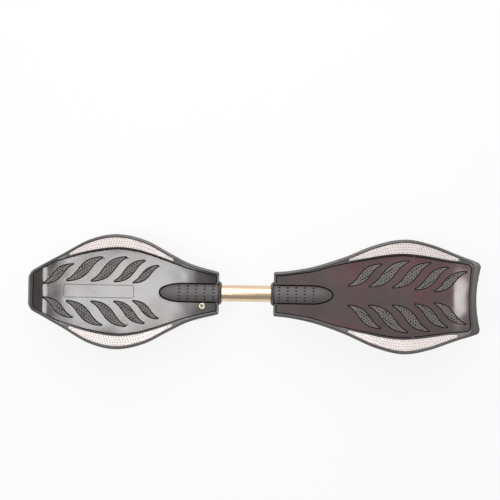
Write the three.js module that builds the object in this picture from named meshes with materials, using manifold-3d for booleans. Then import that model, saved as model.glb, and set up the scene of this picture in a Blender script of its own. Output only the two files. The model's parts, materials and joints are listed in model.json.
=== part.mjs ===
// Caster board: two footplates joined by a torsion tube, with one leaning caster under each.
// Nose towards -X, tail towards +X, road at z = 0, all lengths in millimetres.
import * as THREE from 'three';
import { mergeVertices } from 'three/addons/utils/BufferGeometryUtils.js';
import Module from 'manifold-3d';

const wasm = await Module();
wasm.setup();

// Whole board: the bare length of tube between the footplates, the half width, the floors' height
const neckLength = 106;
const boardHalfWidth = 111;
const floorHeight = 100;
const axisDrop = 10;

// Footplate shell
const floorThickness = 4;
const rimWidth = 7;
const rimStep = 2;
const rimRaise = 2.5;
const rimRound = 2.5;
const rimRoundShare = 0.3;
const wingSlopeShare = 0.5;
const skirtWall = 4;
const skirtDepth = 20;
const skirtFollowShare = 0.5;
const wallSlope = 0.4;
const grooveHalfWidth = 1.2;
const grooveDepth = 1.2;
const grooveGap = 0.6;
const innerGrooveInset = 4.5;
const stationStep = 30;
const lipStationShares = [0.35, 0.55, 0.78, 1];

// Ribs under the footplates
const ribThickness = 3;
const ribLift = 2;
const ribSideOffset = 36;
const ribSpacing = 62;
const ribCount = 4;
const ribFirst = 62;

// Leaf-shaped foot grips moulded into the floor
const leafDepth = 1.2;
const leafSteps = 4;
const leafHandleShares = [[0.56, 0], [0.62, 0.55]];
const cutMargin = 6;

// Pale side grips let into the wings
const gripMargin = 0.8;
const gripGap = 0.3;
const gripDepth = 1.5;
const gripProud = 0.4;

// Dome over the tube and barrel below it
const domeRadius = 20;
const domeStraight = 72;
const domeNose = 45;
const domeOverlap = 2;
const barrelRadius = 23;
const barrelLength = 80;
const barrelOverlap = 1;
const padHalfWidth = 24;
const padHalfLength = 8;
const padDrop = 17;
const boreGap = 0.3;

// Torsion tube, its plug, bushes, anchor and torsion bar
const tubeRadius = 16;
const tubeWall = 2;
const frontSocket = 72;
const rearSocket = 54;
const plugLength = 40;
const plugGap = 0.2;
const plugInset = 1;
const barWidth = 5;
const barGap = 0.2;
const barFrontInset = 3;
const anchorLength = 16;
const anchorRadius = 15;
const anchorGap = 1.5;
const barRearInset = 3;
const bushWall = 1.7;
const bushLength = 12;
const outerBushInset = 1.5;
const innerBushInset = 41;
const collarLength = 7;
const collarBase = 23;
const collarTip = 18;
const collarSeat = 2;
const stopInset = 27;
const stopReach = 3;
const stopTurnDegrees = 44;
const stopSteps = 6;
const clampDrop = 8;
const clampInsets = [61, 41];

// Screws: shank radius, head across flats, head height and nut height
const screw = { shank: 3, across: 10, head: 4, nut: 5 };
const kingpin = { shank: 5, across: 16, head: 6, nut: 4.5 };
const axle = { shank: 4, across: 13, head: 5, nut: 6 };
const screwGap = 0.3;
const nutStickOut = 1.5;

// Round plug beside the front dome
const roundPlugRadius = 5.6;
const roundPlugHeight = 2.4;
const roundPlugProud = 0.6;
const roundPlugInset = 32;
const roundPlugOffset = 25;

// Casters
const leanDegrees = 30;
const wheelRadius = 38;
const axleDepth = 54;
const axleTrail = 24;
const frontPlateInset = 132;
const rearPlateInset = 192;
const plateHalfLength = 35;
const plateHalfWidth = 29;
const plateThickness = 3;
const plateCorner = 6;
const plateBoltX = 27;
const plateBoltY = 21;
const plateBoltReach = 12;
const wedgeMargin = 2;
const wedgeReach = 70;
const pinPocketGap = 1;
const pinPocketRadius = 10.5;
const raceGap = 0.3;
const upperRaceHeight = 4.7;
const upperRaceOuter = 22;
const upperRaceInner = 12;
const crownThickness = 3;
const crownRadius = 26;
const lowerRaceHeight = 2.4;
const lowerRaceOuter = 14;
const legInner = 14.6;
const legThickness = 3;
const legBossRadius = 11;
const legBackX = -15;
const legFrontX = 21;
const legSteps = 5;
const spacingBoss = 7;
const spacingBossInner = 11.9;

// Wheel and its bearings
const tyreHalfWidth = 12;
const treadHalfWidth = 5.5;
const shoulderHalfWidth = 9.6;
const shoulderDrop = 1.3;
const tyreSideDrop = 4.6;
const coreRadius = 26;
const coreHalfWidth = 10.5;
const coreWebHalfWidth = 5;
const coreRimInner = 22;
const hubRadius = 14.5;
const bondGap = 0.1;
const bearingOuter = 11;
const bearingShoulder = 6.6;
const bearingRaceOuter = 6.2;
const bearingHalfGap = 4.5;
const bearingWidth = 7;
const bearingGap = 0.15;
const spacerOuter = 5.8;

// Facets round the turned pieces
const wheelFacets = 36;
const tubeFacets = 20;
const noseFacets = 8;
const ringFacets = 16;
const screwFacets = 8;
const hexFacets = 6;
const mergeTolerance = 0.0001;

// The two footplates. Shares run from the outer end to the tube end, and from the centre line out.
const frontPlate = {
  name: 'front',
  way: -1,
  length: 364,
  lipRise: 14,
  lipRun: 38,
  lipPowerShare: 2,
  notch: 0,
  notchRun: 120,
  endRim: 6,
  outlineShares: [
    [0, 0.275], [0.024, 0.369], [0.17, 0.645], [0.32, 0.906], [0.464, 1],
    [0.61, 0.899], [0.743, 0.671], [0.847, 0.505], [1, 0.367],
  ],
  floorShares: [
    [0, 0.215], [0.024, 0.31], [0.11, 0.487], [0.194, 0.596], [0.325, 0.712], [0.459, 0.749],
    [0.572, 0.712], [0.685, 0.602], [0.814, 0.465], [0.952, 0.336], [1, 0.32],
  ],
  leafShares: [
    [0.066, 0.132, 0.226, 0.456], [0.188, 0.188, 0.386, 0.586], [0.32, 0.187, 0.512, 0.594],
    [0.441, 0.182, 0.61, 0.541], [0.543, 0.168, 0.683, 0.452],
  ],
  gripShares: [0.185, 0.738],
};
const rearPlate = {
  name: 'rear',
  way: 1,
  length: 394,
  lipRise: 24,
  lipRun: 68,
  lipPowerShare: 1.5,
  notch: 9,
  notchRun: 120,
  endRim: 13,
  outlineShares: [
    [0, 0.575], [0.0127, 0.615], [0.085, 0.718], [0.235, 0.917], [0.367, 0.996],
    [0.504, 0.893], [0.651, 0.668], [0.797, 0.488], [0.92, 0.395], [1, 0.368],
  ],
  floorShares: [
    [0, 0.5], [0.03, 0.56], [0.085, 0.61], [0.14, 0.645], [0.235, 0.72], [0.3, 0.742],
    [0.367, 0.738], [0.445, 0.715], [0.55, 0.65], [0.69, 0.545], [0.83, 0.4], [1, 0.33],
  ],
  leafShares: [
    [0.638, 0.179, 0.471, 0.55], [0.538, 0.172, 0.337, 0.612], [0.421, 0.163, 0.231, 0.587],
    [0.312, 0.137, 0.141, 0.516], [0.215, 0.11, 0.055, 0.45],
  ],
  gripShares: [0.072, 0.645],
};
const boardLength = frontPlate.length + neckLength + rearPlate.length;
const sideSigns = [-1, 1];
const sideNames = { '-1': 'left', 1: 'right' };

// Finishes
function finish(colour, roughness, metalness) {
  return { colour, roughness, metalness };
}
const glossBlack = finish(0x1d1b1c, 0.28, 0);
const satinBlack = finish(0x2c2a2b, 0.5, 0);
const paleGrip = finish(0xe6dfda, 0.6, 0);
const goldTube = finish(0xd8c09a, 0.3, 0.9);
const zincSteel = finish(0xa9abad, 0.35, 0.95);
const darkSteel = finish(0x4a4b4d, 0.45, 0.9);
const nylonWhite = finish(0xdad8d0, 0.5, 0);
const brassPlug = finish(0xdfd2a8, 0.4, 0.3);
const tyreRubber = finish(0xdedbd2, 0.55, 0);

const board = new THREE.Group();
board.name = 'caster_board';

// A closed solid from any geometry, facing outward.
function solidFrom(geometry) {
  const bare = geometry.clone();
  bare.deleteAttribute('normal');
  bare.deleteAttribute('uv');
  const merged = mergeVertices(bare, mergeTolerance);
  const place = merged.getAttribute('position').array;
  const kept = [];
  const index = merged.getIndex().array;
  let volume = 0;
  for (let i = 0; i < index.length; i += 3) {
    const [a, b, c] = [index[i], index[i + 1], index[i + 2]];
    if (a === b || b === c || c === a) continue;
    kept.push(a, b, c);
    const first = new THREE.Vector3().fromArray(place, a * 3);
    const second = new THREE.Vector3().fromArray(place, b * 3);
    const third = new THREE.Vector3().fromArray(place, c * 3);
    volume += first.dot(second.cross(third));
  }
  if (volume < 0) kept.reverse();
  const mesh = new wasm.Mesh({
    numProp: 3,
    vertProperties: new Float32Array(place),
    triVerts: new Uint32Array(kept),
  });
  return new wasm.Manifold(mesh);
}

function geometryFrom(body) {
  const mesh = body.getMesh();
  const geometry = new THREE.BufferGeometry();
  geometry.setAttribute('position', new THREE.BufferAttribute(new Float32Array(mesh.vertProperties), 3));
  geometry.setIndex(new THREE.BufferAttribute(new Uint32Array(mesh.triVerts), 1));
  geometry.computeVertexNormals();
  return geometry;
}

function addPiece(parent, name, body, look) {
  const material = new THREE.MeshStandardMaterial({
    color: look.colour,
    roughness: look.roughness,
    metalness: look.metalness,
    flatShading: true,
  });
  const mesh = new THREE.Mesh(geometryFrom(body), material);
  mesh.name = name;
  parent.add(mesh);
  return mesh;
}

// Turned solids. The profile is a list of [radius, along] pairs; the axis is named by its letter.
function turned(profile, facets, axis) {
  const points = profile.map((pair) => new THREE.Vector2(pair[0], pair[1]));
  const onAxis = profile[0][0] === 0;
  if (!onAxis) points.push(points[0].clone());
  const halfFacet = Math.PI / facets;
  const geometry = new THREE.LatheGeometry(points, facets, halfFacet);
  if (axis === 'x') geometry.rotateZ(-Math.PI / 2);
  if (axis === 'z') geometry.rotateX(Math.PI / 2);
  return solidFrom(geometry);
}

function rod(radius, from, to, facets, axis) {
  return turned([[0, from], [radius, from], [radius, to], [0, to]], facets, axis);
}

function ring(inner, outer, from, to, facets, axis) {
  return turned([[inner, from], [outer, from], [outer, to], [inner, to]], facets, axis);
}

function hexRadius(across) {
  return across / 2 / Math.cos(Math.PI / hexFacets);
}

function block(fromX, toX, fromY, toY, fromZ, toZ) {
  const geometry = new THREE.BoxGeometry(toX - fromX, toY - fromY, toZ - fromZ);
  geometry.translate((fromX + toX) / 2, (fromY + toY) / 2, (fromZ + toZ) / 2);
  return solidFrom(geometry);
}

// A screw along one axis: the head beyond zero, the shank running to minus its length.
function screwSolid(size, length, axis) {
  const head = rod(hexRadius(size.across), 0, size.head, hexFacets, axis);
  const shank = rod(size.shank, -length, size.head / 2, screwFacets, axis);
  return head.add(shank);
}

function nutSolid(size, axis) {
  const body = rod(hexRadius(size.across), 0, size.nut, hexFacets, axis);
  const hole = rod(size.shank + screwGap, -size.nut, size.nut + size.nut, screwFacets, axis);
  return body.subtract(hole);
}

function joined(bodies) {
  return bodies.reduce((whole, next) => whole.add(next));
}

// A smooth curve through share points.
function smoothThrough(shares, along) {
  const last = shares.length - 1;
  const at = Math.min(Math.max(along, shares[0][0]), shares[last][0]);
  let k = 0;
  while (k < last - 1 && shares[k + 1][0] <= at) k += 1;
  const slopeAt = (i) => {
    const before = shares[Math.max(i - 1, 0)];
    const after = shares[Math.min(i + 1, last)];
    return (after[1] - before[1]) / (after[0] - before[0]);
  };
  const span = shares[k + 1][0] - shares[k][0];
  const t = (at - shares[k][0]) / span;
  const square = t * t;
  const cube = square * t;
  return (2 * cube - 3 * square + 1) * shares[k][1]
    + (cube - 2 * square + t) * span * slopeAt(k)
    + (3 * square - 2 * cube) * shares[k + 1][1]
    + (cube - square) * span * slopeAt(k + 1);
}

// Surface of a footplate. "inset" is measured from its outer end, "side" out from the centre line.
function halfWidth(plate, inset) {
  return boardHalfWidth * smoothThrough(plate.outlineShares, inset / plate.length);
}

function floorHalf(plate, inset) {
  const wished = boardHalfWidth * smoothThrough(plate.floorShares, inset / plate.length);
  const room = halfWidth(plate, inset) - rimWidth - grooveHalfWidth - grooveGap;
  return Math.min(wished, room);
}

function placeX(plate, inset, side) {
  const across = Math.min(Math.abs(side) / halfWidth(plate, inset), 1);
  const fade = Math.max(0, 1 - inset / plate.notchRun);
  const hollow = plate.notch * (1 - across * across) * fade * fade;
  return plate.way * (boardLength / 2 - inset - hollow);
}

function baseHeight(plate, inset) {
  const fade = Math.max(0, 1 - inset / plate.lipRun);
  return floorHeight + plate.lipRise * fade ** plate.lipPowerShare;
}

function wingWidth(plate, inset) {
  return halfWidth(plate, inset) - rimWidth - floorHalf(plate, inset) - grooveHalfWidth;
}

function wingRise(plate, inset, side) {
  const climb = Math.abs(side) - floorHalf(plate, inset) - grooveHalfWidth;
  return wingSlopeShare * Math.min(Math.max(climb, 0), wingWidth(plate, inset));
}

function rimLift(distance, width) {
  return rimRaise * Math.min(Math.max((width - distance) / rimStep, 0), 1);
}

function roundDrop(distance) {
  const short = Math.max(rimRound - distance, 0);
  return rimRound - Math.sqrt(rimRound * rimRound - short * short);
}

function grooveDrop(plate, inset, side) {
  const floorSide = floorHalf(plate, inset);
  const outerLine = plate.endRim + grooveHalfWidth;
  const innerLine = plate.length - innerGrooveInset;
  const sideShare = 1 - Math.abs(Math.abs(side) - floorSide) / grooveHalfWidth;
  const endMiss = Math.min(Math.abs(inset - outerLine), Math.abs(inset - innerLine));
  const endShare = 1 - endMiss / grooveHalfWidth;
  const betweenEnds = inset >= outerLine && inset <= innerLine;
  const betweenSides = Math.abs(side) <= floorSide;
  const share = Math.max(betweenEnds ? sideShare : 0, betweenSides ? endShare : 0, 0);
  return grooveDepth * share;
}

function topHeight(plate, inset, side) {
  const toSide = Math.max(halfWidth(plate, inset) - Math.abs(side), 0);
  const lift = Math.max(rimLift(toSide, rimWidth), rimLift(inset, plate.endRim));
  const surface = baseHeight(plate, inset) + wingRise(plate, inset, side) + lift;
  return surface - roundDrop(Math.min(toSide, inset)) - grooveDrop(plate, inset, side);
}

function plainHeight(plate, inset, side) {
  return baseHeight(plate, inset) + wingRise(plate, inset, side);
}

function skirtHeight(plate, inset) {
  const follow = skirtFollowShare * wingSlopeShare * wingWidth(plate, inset);
  return baseHeight(plate, inset) + rimRaise + follow - skirtDepth;
}

// Insets at which the shell is cut into stations.
function shellStations(plate) {
  const outerLine = plate.endRim + grooveHalfWidth;
  const innerLine = plate.length - innerGrooveInset;
  const fine = [
    0, rimRound * rimRoundShare, rimRound, skirtWall, skirtWall + wallSlope,
    plate.endRim - rimStep, plate.endRim, outerLine, outerLine + grooveHalfWidth,
    innerLine - grooveHalfWidth, innerLine, innerLine + grooveHalfWidth,
    plate.length - skirtWall - wallSlope, plate.length - skirtWall, plate.length,
  ];
  for (const share of lipStationShares) fine.push(share * plate.lipRun);
  const first = outerLine + grooveHalfWidth;
  const last = innerLine - grooveHalfWidth;
  const count = Math.round((last - first) / stationStep);
  for (let i = 1; i < count; i += 1) {
    fine.push(first + ((last - first) * i) / count);
  }
  fine.sort((a, b) => a - b);
  return fine.filter((inset, i) => i === 0 || inset - fine[i - 1] > grooveGap / 4);
}

function mirrored(sides) {
  const left = sides.filter((side) => side > 0).map((side) => -side).reverse();
  return [...left, ...sides];
}

function topSides(plate, inset) {
  const half = halfWidth(plate, inset);
  const floorSide = floorHalf(plate, inset);
  return mirrored([
    0, floorSide - grooveHalfWidth, floorSide, floorSide + grooveHalfWidth,
    half - rimWidth, half - rimWidth + rimStep, half - rimRound, half - rimRound * rimRoundShare, half,
  ]);
}

function underSides(plate, inset) {
  const half = halfWidth(plate, inset);
  return mirrored([0, floorHalf(plate, inset), half - skirtWall - wallSlope, half - skirtWall, half]);
}

function underHeight(plate, inset, side) {
  const toSide = halfWidth(plate, inset) - Math.abs(side);
  const toEnd = Math.min(inset, plate.length - inset);
  const inWall = Math.min(toSide, toEnd) < skirtWall + wallSlope / 2;
  return inWall ? skirtHeight(plate, inset) : plainHeight(plate, inset, side) - floorThickness;
}

function surfaceRow(plate, inset, sides, heightAt) {
  return sides.map((side) => [placeX(plate, inset, side), side, heightAt(inset, side)]);
}

// A closed solid between an upper and a lower field of rows, which share their stations.
function sheetSolid(upperRows, lowerRows) {
  const places = [...upperRows.flat(), ...lowerRows.flat()];
  const upperCount = upperRows[0].length;
  const lowerCount = lowerRows[0].length;
  const upper = (i, j) => i * upperCount + j;
  const lower = (i, j) => upperRows.length * upperCount + i * lowerCount + j;
  const faces = [];
  const lastRow = upperRows.length - 1;
  for (let i = 0; i < lastRow; i += 1) {
    for (let j = 0; j < upperCount - 1; j += 1) {
      faces.push([upper(i, j), upper(i, j + 1), upper(i + 1, j + 1)]);
      faces.push([upper(i, j), upper(i + 1, j + 1), upper(i + 1, j)]);
    }
    for (let j = 0; j < lowerCount - 1; j += 1) {
      faces.push([lower(i, j), lower(i + 1, j + 1), lower(i, j + 1)]);
      faces.push([lower(i, j), lower(i + 1, j), lower(i + 1, j + 1)]);
    }
    const [u, w] = [upperCount - 1, lowerCount - 1];
    faces.push([upper(i, 0), upper(i + 1, 0), lower(i, 0)]);
    faces.push([upper(i + 1, 0), lower(i + 1, 0), lower(i, 0)]);
    faces.push([upper(i + 1, u), upper(i, u), lower(i, w)]);
    faces.push([upper(i + 1, u), lower(i, w), lower(i + 1, w)]);
  }
  for (const i of [0, lastRow]) {
    let j = 0;
    let k = 0;
    while (j < upperCount - 1 || k < lowerCount - 1) {
      const upperNext = j < upperCount - 1 ? upperRows[i][j + 1][1] : Infinity;
      const lowerNext = k < lowerCount - 1 ? lowerRows[i][k + 1][1] : Infinity;
      const stepUpper = upperNext <= lowerNext;
      const face = stepUpper
        ? [upper(i, j + 1), upper(i, j), lower(i, k)]
        : [lower(i, k), lower(i, k + 1), upper(i, j)];
      faces.push(i === 0 ? face : face.reverse());
      if (stepUpper) j += 1;
      else k += 1;
    }
  }
  const geometry = new THREE.BufferGeometry();
  geometry.setAttribute('position', new THREE.BufferAttribute(new Float32Array(places.flat()), 3));
  geometry.setIndex(faces.flat());
  return solidFrom(geometry);
}

function shellSolid(plate) {
  const stations = shellStations(plate);
  const upper = stations.map((inset) => surfaceRow(
    plate, inset, topSides(plate, inset), (u, v) => topHeight(plate, u, v)));
  const lower = stations.map((inset) => surfaceRow(
    plate, inset, underSides(plate, inset), (u, v) => underHeight(plate, u, v)));
  return sheetSolid(upper, lower);
}

// Crossed ribs, kept inside the hollow of the shell.
function ribSolid(plate) {
  const stations = shellStations(plate).filter((inset) => inset > skirtWall / 2);
  const inside = stations.filter((inset) => inset < plate.length - skirtWall / 2);
  const sidesAt = (inset) => {
    const half = halfWidth(plate, inset) - skirtWall / 2;
    return mirrored([0, floorHalf(plate, inset), half]);
  };
  const upper = inside.map((inset) => surfaceRow(
    plate, inset, sidesAt(inset), (u, v) => plainHeight(plate, u, v) - floorThickness / 2));
  const lower = inside.map((inset) => surfaceRow(
    plate, inset, sidesAt(inset), (u) => skirtHeight(plate, u) + ribLift));
  const hollow = sheetSolid(upper, lower);
  const bars = [];
  const top = floorHeight + plate.lipRise;
  const bottom = floorHeight - skirtDepth - ribLift;
  const outerX = plate.way * boardLength / 2;
  const innerX = plate.way * (boardLength / 2 - plate.length);
  for (const sign of sideSigns) {
    const middle = sign * ribSideOffset;
    const [from, to] = [Math.min(outerX, innerX), Math.max(outerX, innerX)];
    bars.push(block(from, to, middle - ribThickness / 2, middle + ribThickness / 2, bottom, top));
  }
  for (let i = 0; i < ribCount; i += 1) {
    const middle = plate.way * (boardLength / 2 - ribFirst - i * ribSpacing);
    bars.push(block(middle - ribThickness / 2, middle + ribThickness / 2,
      -boardHalfWidth, boardHalfWidth, bottom, top));
  }
  return joined(bars).intersect(hollow);
}

// The outline of one leaf between its two tips: two S-shaped edges, each the other turned half round.
function leafOutline(inner, outer) {
  const [first, second] = leafHandleShares;
  const unit = new THREE.CubicBezierCurve(
    new THREE.Vector2(0, 0), new THREE.Vector2(first[0], first[1]),
    new THREE.Vector2(second[0], second[1]), new THREE.Vector2(1, 1));
  const going = unit.getPoints(leafSteps);
  const coming = going.slice(1, -1).map((point) => new THREE.Vector2(1 - point.x, 1 - point.y));
  const across = outer.clone().sub(inner);
  return [...going, ...coming].map((point) => new THREE.Vector2(
    inner.x + point.x * across.x, inner.y + point.y * across.y));
}

function leafSolids(plate) {
  const reach = cutMargin + plate.lipRise;
  const stations = shellStations(plate);
  const sidesAt = (inset) => mirrored([0, floorHalf(plate, inset)]);
  const upper = stations.map((inset) => surfaceRow(
    plate, inset, sidesAt(inset), (u) => baseHeight(plate, u) + cutMargin));
  const lower = stations.map((inset) => surfaceRow(
    plate, inset, sidesAt(inset), (u) => baseHeight(plate, u) - leafDepth));
  const skin = sheetSolid(upper, lower);
  const prisms = [];
  for (const shares of plate.leafShares) {
    for (const sign of sideSigns) {
      const tips = [[shares[0], shares[1]], [shares[2], shares[3]]].map((pair) => {
        const side = sign * pair[1] * boardHalfWidth;
        return new THREE.Vector2(placeX(plate, pair[0] * plate.length, side), side);
      });
      const shape = new THREE.Shape(leafOutline(tips[0], tips[1]));
      const geometry = new THREE.ExtrudeGeometry(shape, { depth: reach + cutMargin, bevelEnabled: false });
      geometry.translate(0, 0, floorHeight - cutMargin);
      prisms.push(solidFrom(geometry));
    }
  }
  return joined(prisms).intersect(skin);
}

// One pale side grip, or the recess it lies in when a gap is given.
function gripSolid(plate, sign, gap, proud) {
  const from = plate.gripShares[0] * plate.length - gap;
  const to = plate.gripShares[1] * plate.length + gap;
  const between = shellStations(plate).filter((inset) => inset > from && inset < to);
  const stations = [from, ...between, to];
  const sidesAt = (inset) => {
    const inner = floorHalf(plate, inset) + grooveHalfWidth + gripMargin - gap;
    const outer = halfWidth(plate, inset) - rimWidth - gripMargin + gap;
    return [inner, outer].map((side) => sign * side).sort((a, b) => a - b);
  };
  const upper = stations.map((inset) => surfaceRow(
    plate, inset, sidesAt(inset), (u, v) => plainHeight(plate, u, v) + proud));
  const lower = stations.map((inset) => surfaceRow(
    plate, inset, sidesAt(inset), (u, v) => plainHeight(plate, u, v) - gripDepth - gap));
  return sheetSolid(upper, lower);
}

const axisHeight = floorHeight - axisDrop;
function onAxis(body) {
  return body.translate([0, 0, axisHeight]);
}

// Places along the board that both footplates share with the tube.
const frontFace = -(boardLength / 2 - frontPlate.length);
const rearFace = boardLength / 2 - rearPlate.length;
const tubeFront = frontFace - frontSocket;
const tubeRear = rearFace + rearSocket;
const anchorFront = tubeRear + anchorGap;
const anchorRear = anchorFront + anchorLength;
const bushRadius = tubeRadius + boreGap + bushWall;
const stopX = rearFace + stopInset;
const anchorBoltX = (anchorFront + anchorRear) / 2;
const clampXs = clampInsets.map((inset) => tubeFront + frontSocket - inset);

function domeSolid(plate, faceX) {
  const far = faceX + plate.way * domeStraight;
  const [from, to] = [Math.min(faceX, far), Math.max(faceX, far)];
  const straight = rod(domeRadius, from, to, tubeFacets, 'x');
  const noseGeometry = new THREE.SphereGeometry(domeRadius, tubeFacets, noseFacets);
  noseGeometry.rotateZ(Math.PI / 2);
  noseGeometry.rotateX(Math.PI / tubeFacets);
  noseGeometry.scale(domeNose / domeRadius, 1, 1);
  const nose = solidFrom(noseGeometry).translate([far, 0, 0]);
  const reach = boardLength;
  const above = block(-reach, reach, -reach, reach, axisDrop - domeOverlap, reach);
  return onAxis(straight.add(nose).intersect(above));
}

function barrelSolid(plate, faceX, padXs) {
  const far = faceX + plate.way * barrelLength;
  const round = rod(barrelRadius, Math.min(faceX, far), Math.max(faceX, far), tubeFacets, 'x');
  const pads = padXs.map((x) => block(
    x - padHalfLength, x + padHalfLength, -padHalfWidth, padHalfWidth, -padDrop, axisDrop));
  const reach = boardLength;
  const below = block(-reach, reach, -reach, reach, -reach, axisDrop - barrelOverlap);
  return onAxis(joined([round, ...pads]).intersect(below));
}

// Caster frame: x along the plate towards the tail, z up the swivel axis, origin under the plate.
const lean = THREE.MathUtils.degToRad(leanDegrees);
const plateHeight = wheelRadius + axleDepth * Math.cos(lean) - axleTrail * Math.sin(lean);
function casterPlace(x) {
  return new THREE.Matrix4().makeRotationY(-lean).setPosition(x, 0, plateHeight);
}

function toBoard(body, x) {
  return body.transform(casterPlace(x).elements);
}

const plateCorners = [];
for (const x of [-plateBoltX, plateBoltX]) {
  for (const y of [-plateBoltY, plateBoltY]) plateCorners.push([x, y]);
}

function wedgeSolid(centreX) {
  const length = plateHalfLength + wedgeMargin;
  const width = plateHalfWidth + wedgeMargin;
  const wedge = block(-length, length, -width, width, plateThickness + raceGap, wedgeReach);
  const pocketTop = plateThickness + kingpin.head + pinPocketGap;
  const holes = [rod(pinPocketRadius, 0, pocketTop, ringFacets, 'z')];
  for (const [x, y] of plateCorners) {
    const hole = rod(screw.shank + screwGap, 0, plateBoltReach + screwGap, screwFacets, 'z');
    holes.push(hole.translate([x, y, 0]));
  }
  const clearLength = length + wedgeMargin;
  const clearWidth = width + wedgeMargin;
  holes.push(block(-clearLength, clearLength, -clearWidth, clearWidth, -wedgeReach, plateThickness + raceGap));
  const reach = boardLength;
  const below = block(-reach, reach, -reach, reach, 0, floorHeight - floorThickness / 2);
  const body = toBoard(wedge, centreX).intersect(below);
  return { body, holes: toBoard(joined(holes), centreX) };
}

function plateX(plate) {
  const inset = plate === frontPlate ? frontPlateInset : rearPlateInset;
  return plate.way * (boardLength / 2 - inset);
}

// Footplates with everything moulded into them.
function footplateSolid(plate, faceX, bores, padXs) {
  const wedge = wedgeSolid(plateX(plate));
  const body = joined([
    shellSolid(plate), ribSolid(plate), domeSolid(plate, faceX), barrelSolid(plate, faceX, padXs), wedge.body,
  ]);
  const cuts = [leafSolids(plate), wedge.holes, ...bores];
  for (const sign of sideSigns) cuts.push(gripSolid(plate, sign, gripGap, cutMargin));
  return body.subtract(joined(cuts));
}

const clampHeight = axisHeight - clampDrop;
const clampBores = clampXs.map((x) => {
  const hole = rod(screw.shank + screwGap, -padHalfWidth - boreGap, padHalfWidth + boreGap, screwFacets, 'y');
  return hole.translate([x, 0, clampHeight]);
});

// Room for the heads and nuts of the cross bolts beside the pads.
const clampReach = padHalfWidth + screw.nut + nutStickOut + screwGap;
const clampRooms = clampXs.map((x) => {
  const around = hexRadius(screw.across) + screwGap;
  const right = rod(around, padHalfWidth, clampReach, ringFacets, 'y');
  const left = rod(around, -clampReach, -padHalfWidth, ringFacets, 'y');
  return right.add(left).translate([x, 0, clampHeight]);
});
const frontBore = onAxis(rod(tubeRadius + boreGap, tubeFront - boreGap, frontFace + boreGap, tubeFacets, 'x'));
const plugPlace = [frontFace - roundPlugInset, -roundPlugOffset, 0];
const plugFloor = floorHeight + roundPlugProud - roundPlugHeight;
const plugPocket = rod(roundPlugRadius + screwGap, plugFloor - screwGap, floorHeight + cutMargin, ringFacets, 'z')
  .translate(plugPlace);
const frontDeck = footplateSolid(
  frontPlate, frontFace, [frontBore, plugPocket, ...clampBores, ...clampRooms], clampXs);
addPiece(board, 'front_deck', frontDeck, glossBlack);

const stopTop = axisHeight - tubeRadius + tubeWall + stopReach;
const stopBottom = axisHeight - barrelRadius;
const stopBore = rod(screw.shank + screwGap, stopBottom - screw.head, axisHeight, screwFacets, 'z')
  .translate([stopX, 0, 0]);
const anchorBore = onAxis(rod(anchorRadius + boreGap, rearFace, anchorRear + boreGap, tubeFacets, 'x'));
const bushBore = onAxis(rod(bushRadius + boreGap, rearFace - boreGap, tubeRear + boreGap, tubeFacets, 'x'));
const anchorBoltBore = rod(screw.shank + screwGap, stopBottom - screw.head, axisHeight, screwFacets, 'z')
  .translate([anchorBoltX, 0, 0]);
const rearDeck = footplateSolid(
  rearPlate, rearFace, [bushBore, anchorBore, stopBore, anchorBoltBore], []);
addPiece(board, 'rear_deck', rearDeck, glossBlack);

for (const plate of [frontPlate, rearPlate]) {
  for (const sign of sideSigns) {
    const name = `${plate.name}_side_grip_${sideNames[sign]}`;
    addPiece(board, name, gripSolid(plate, sign, 0, gripProud), paleGrip);
  }
}

const roundPlug = rod(roundPlugRadius, plugFloor, floorHeight + roundPlugProud, ringFacets, 'z');
addPiece(board, 'front_round_plug', roundPlug.translate(plugPlace), brassPlug);

// Torsion tube with its cross holes and the slot for the stop bolt.
function stopSlot() {
  const turn = THREE.MathUtils.degToRad(stopTurnDegrees);
  const outer = tubeRadius + tubeWall;
  const fan = new THREE.Shape();
  fan.moveTo(0, 0);
  for (let i = 0; i <= stopSteps; i += 1) {
    const angle = -turn + (2 * turn * i) / stopSteps;
    fan.lineTo(outer * Math.sin(angle), -outer * Math.cos(angle));
  }
  fan.closePath();
  const width = 2 * (screw.shank + screwGap);
  const geometry = new THREE.ExtrudeGeometry(fan, { depth: width, bevelEnabled: false });
  geometry.translate(0, 0, -width / 2);
  geometry.rotateX(Math.PI / 2);
  geometry.rotateZ(Math.PI / 2);
  return solidFrom(geometry).translate([stopX, 0, axisHeight]);
}

const tubeBody = onAxis(ring(tubeRadius - tubeWall, tubeRadius, tubeFront, tubeRear, tubeFacets, 'x'));
const tube = tubeBody.subtract(joined([stopSlot(), ...clampBores]));
addPiece(board, 'torsion_tube', tube, goldTube);

const barHole = block(
  tubeFront, anchorRear - barRearInset + barGap,
  -barWidth / 2 - barGap, barWidth / 2 + barGap,
  axisHeight - barWidth / 2 - barGap, axisHeight + barWidth / 2 + barGap);
const plugFront = tubeFront + plugInset;
const plugBody = onAxis(rod(tubeRadius - tubeWall - plugGap, plugFront, plugFront + plugLength, tubeFacets, 'x'));
addPiece(board, 'tube_plug', plugBody.subtract(joined([barHole, ...clampBores])), darkSteel);

const bar = block(
  plugFront + barFrontInset, anchorRear - barRearInset,
  -barWidth / 2, barWidth / 2, axisHeight - barWidth / 2, axisHeight + barWidth / 2);
addPiece(board, 'torsion_bar', bar, darkSteel);

const anchorBody = onAxis(rod(anchorRadius, anchorFront, anchorRear, tubeFacets, 'x'));
addPiece(board, 'bar_anchor', anchorBody.subtract(joined([barHole, anchorBoltBore])), zincSteel);

const bushStarts = { outer: rearFace + outerBushInset, inner: rearFace + innerBushInset };
for (const [name, start] of Object.entries(bushStarts)) {
  const bush = ring(tubeRadius + boreGap, bushRadius, start, start + bushLength, tubeFacets, 'x');
  addPiece(board, `tube_bush_${name}`, onAxis(bush), nylonWhite);
}

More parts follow.
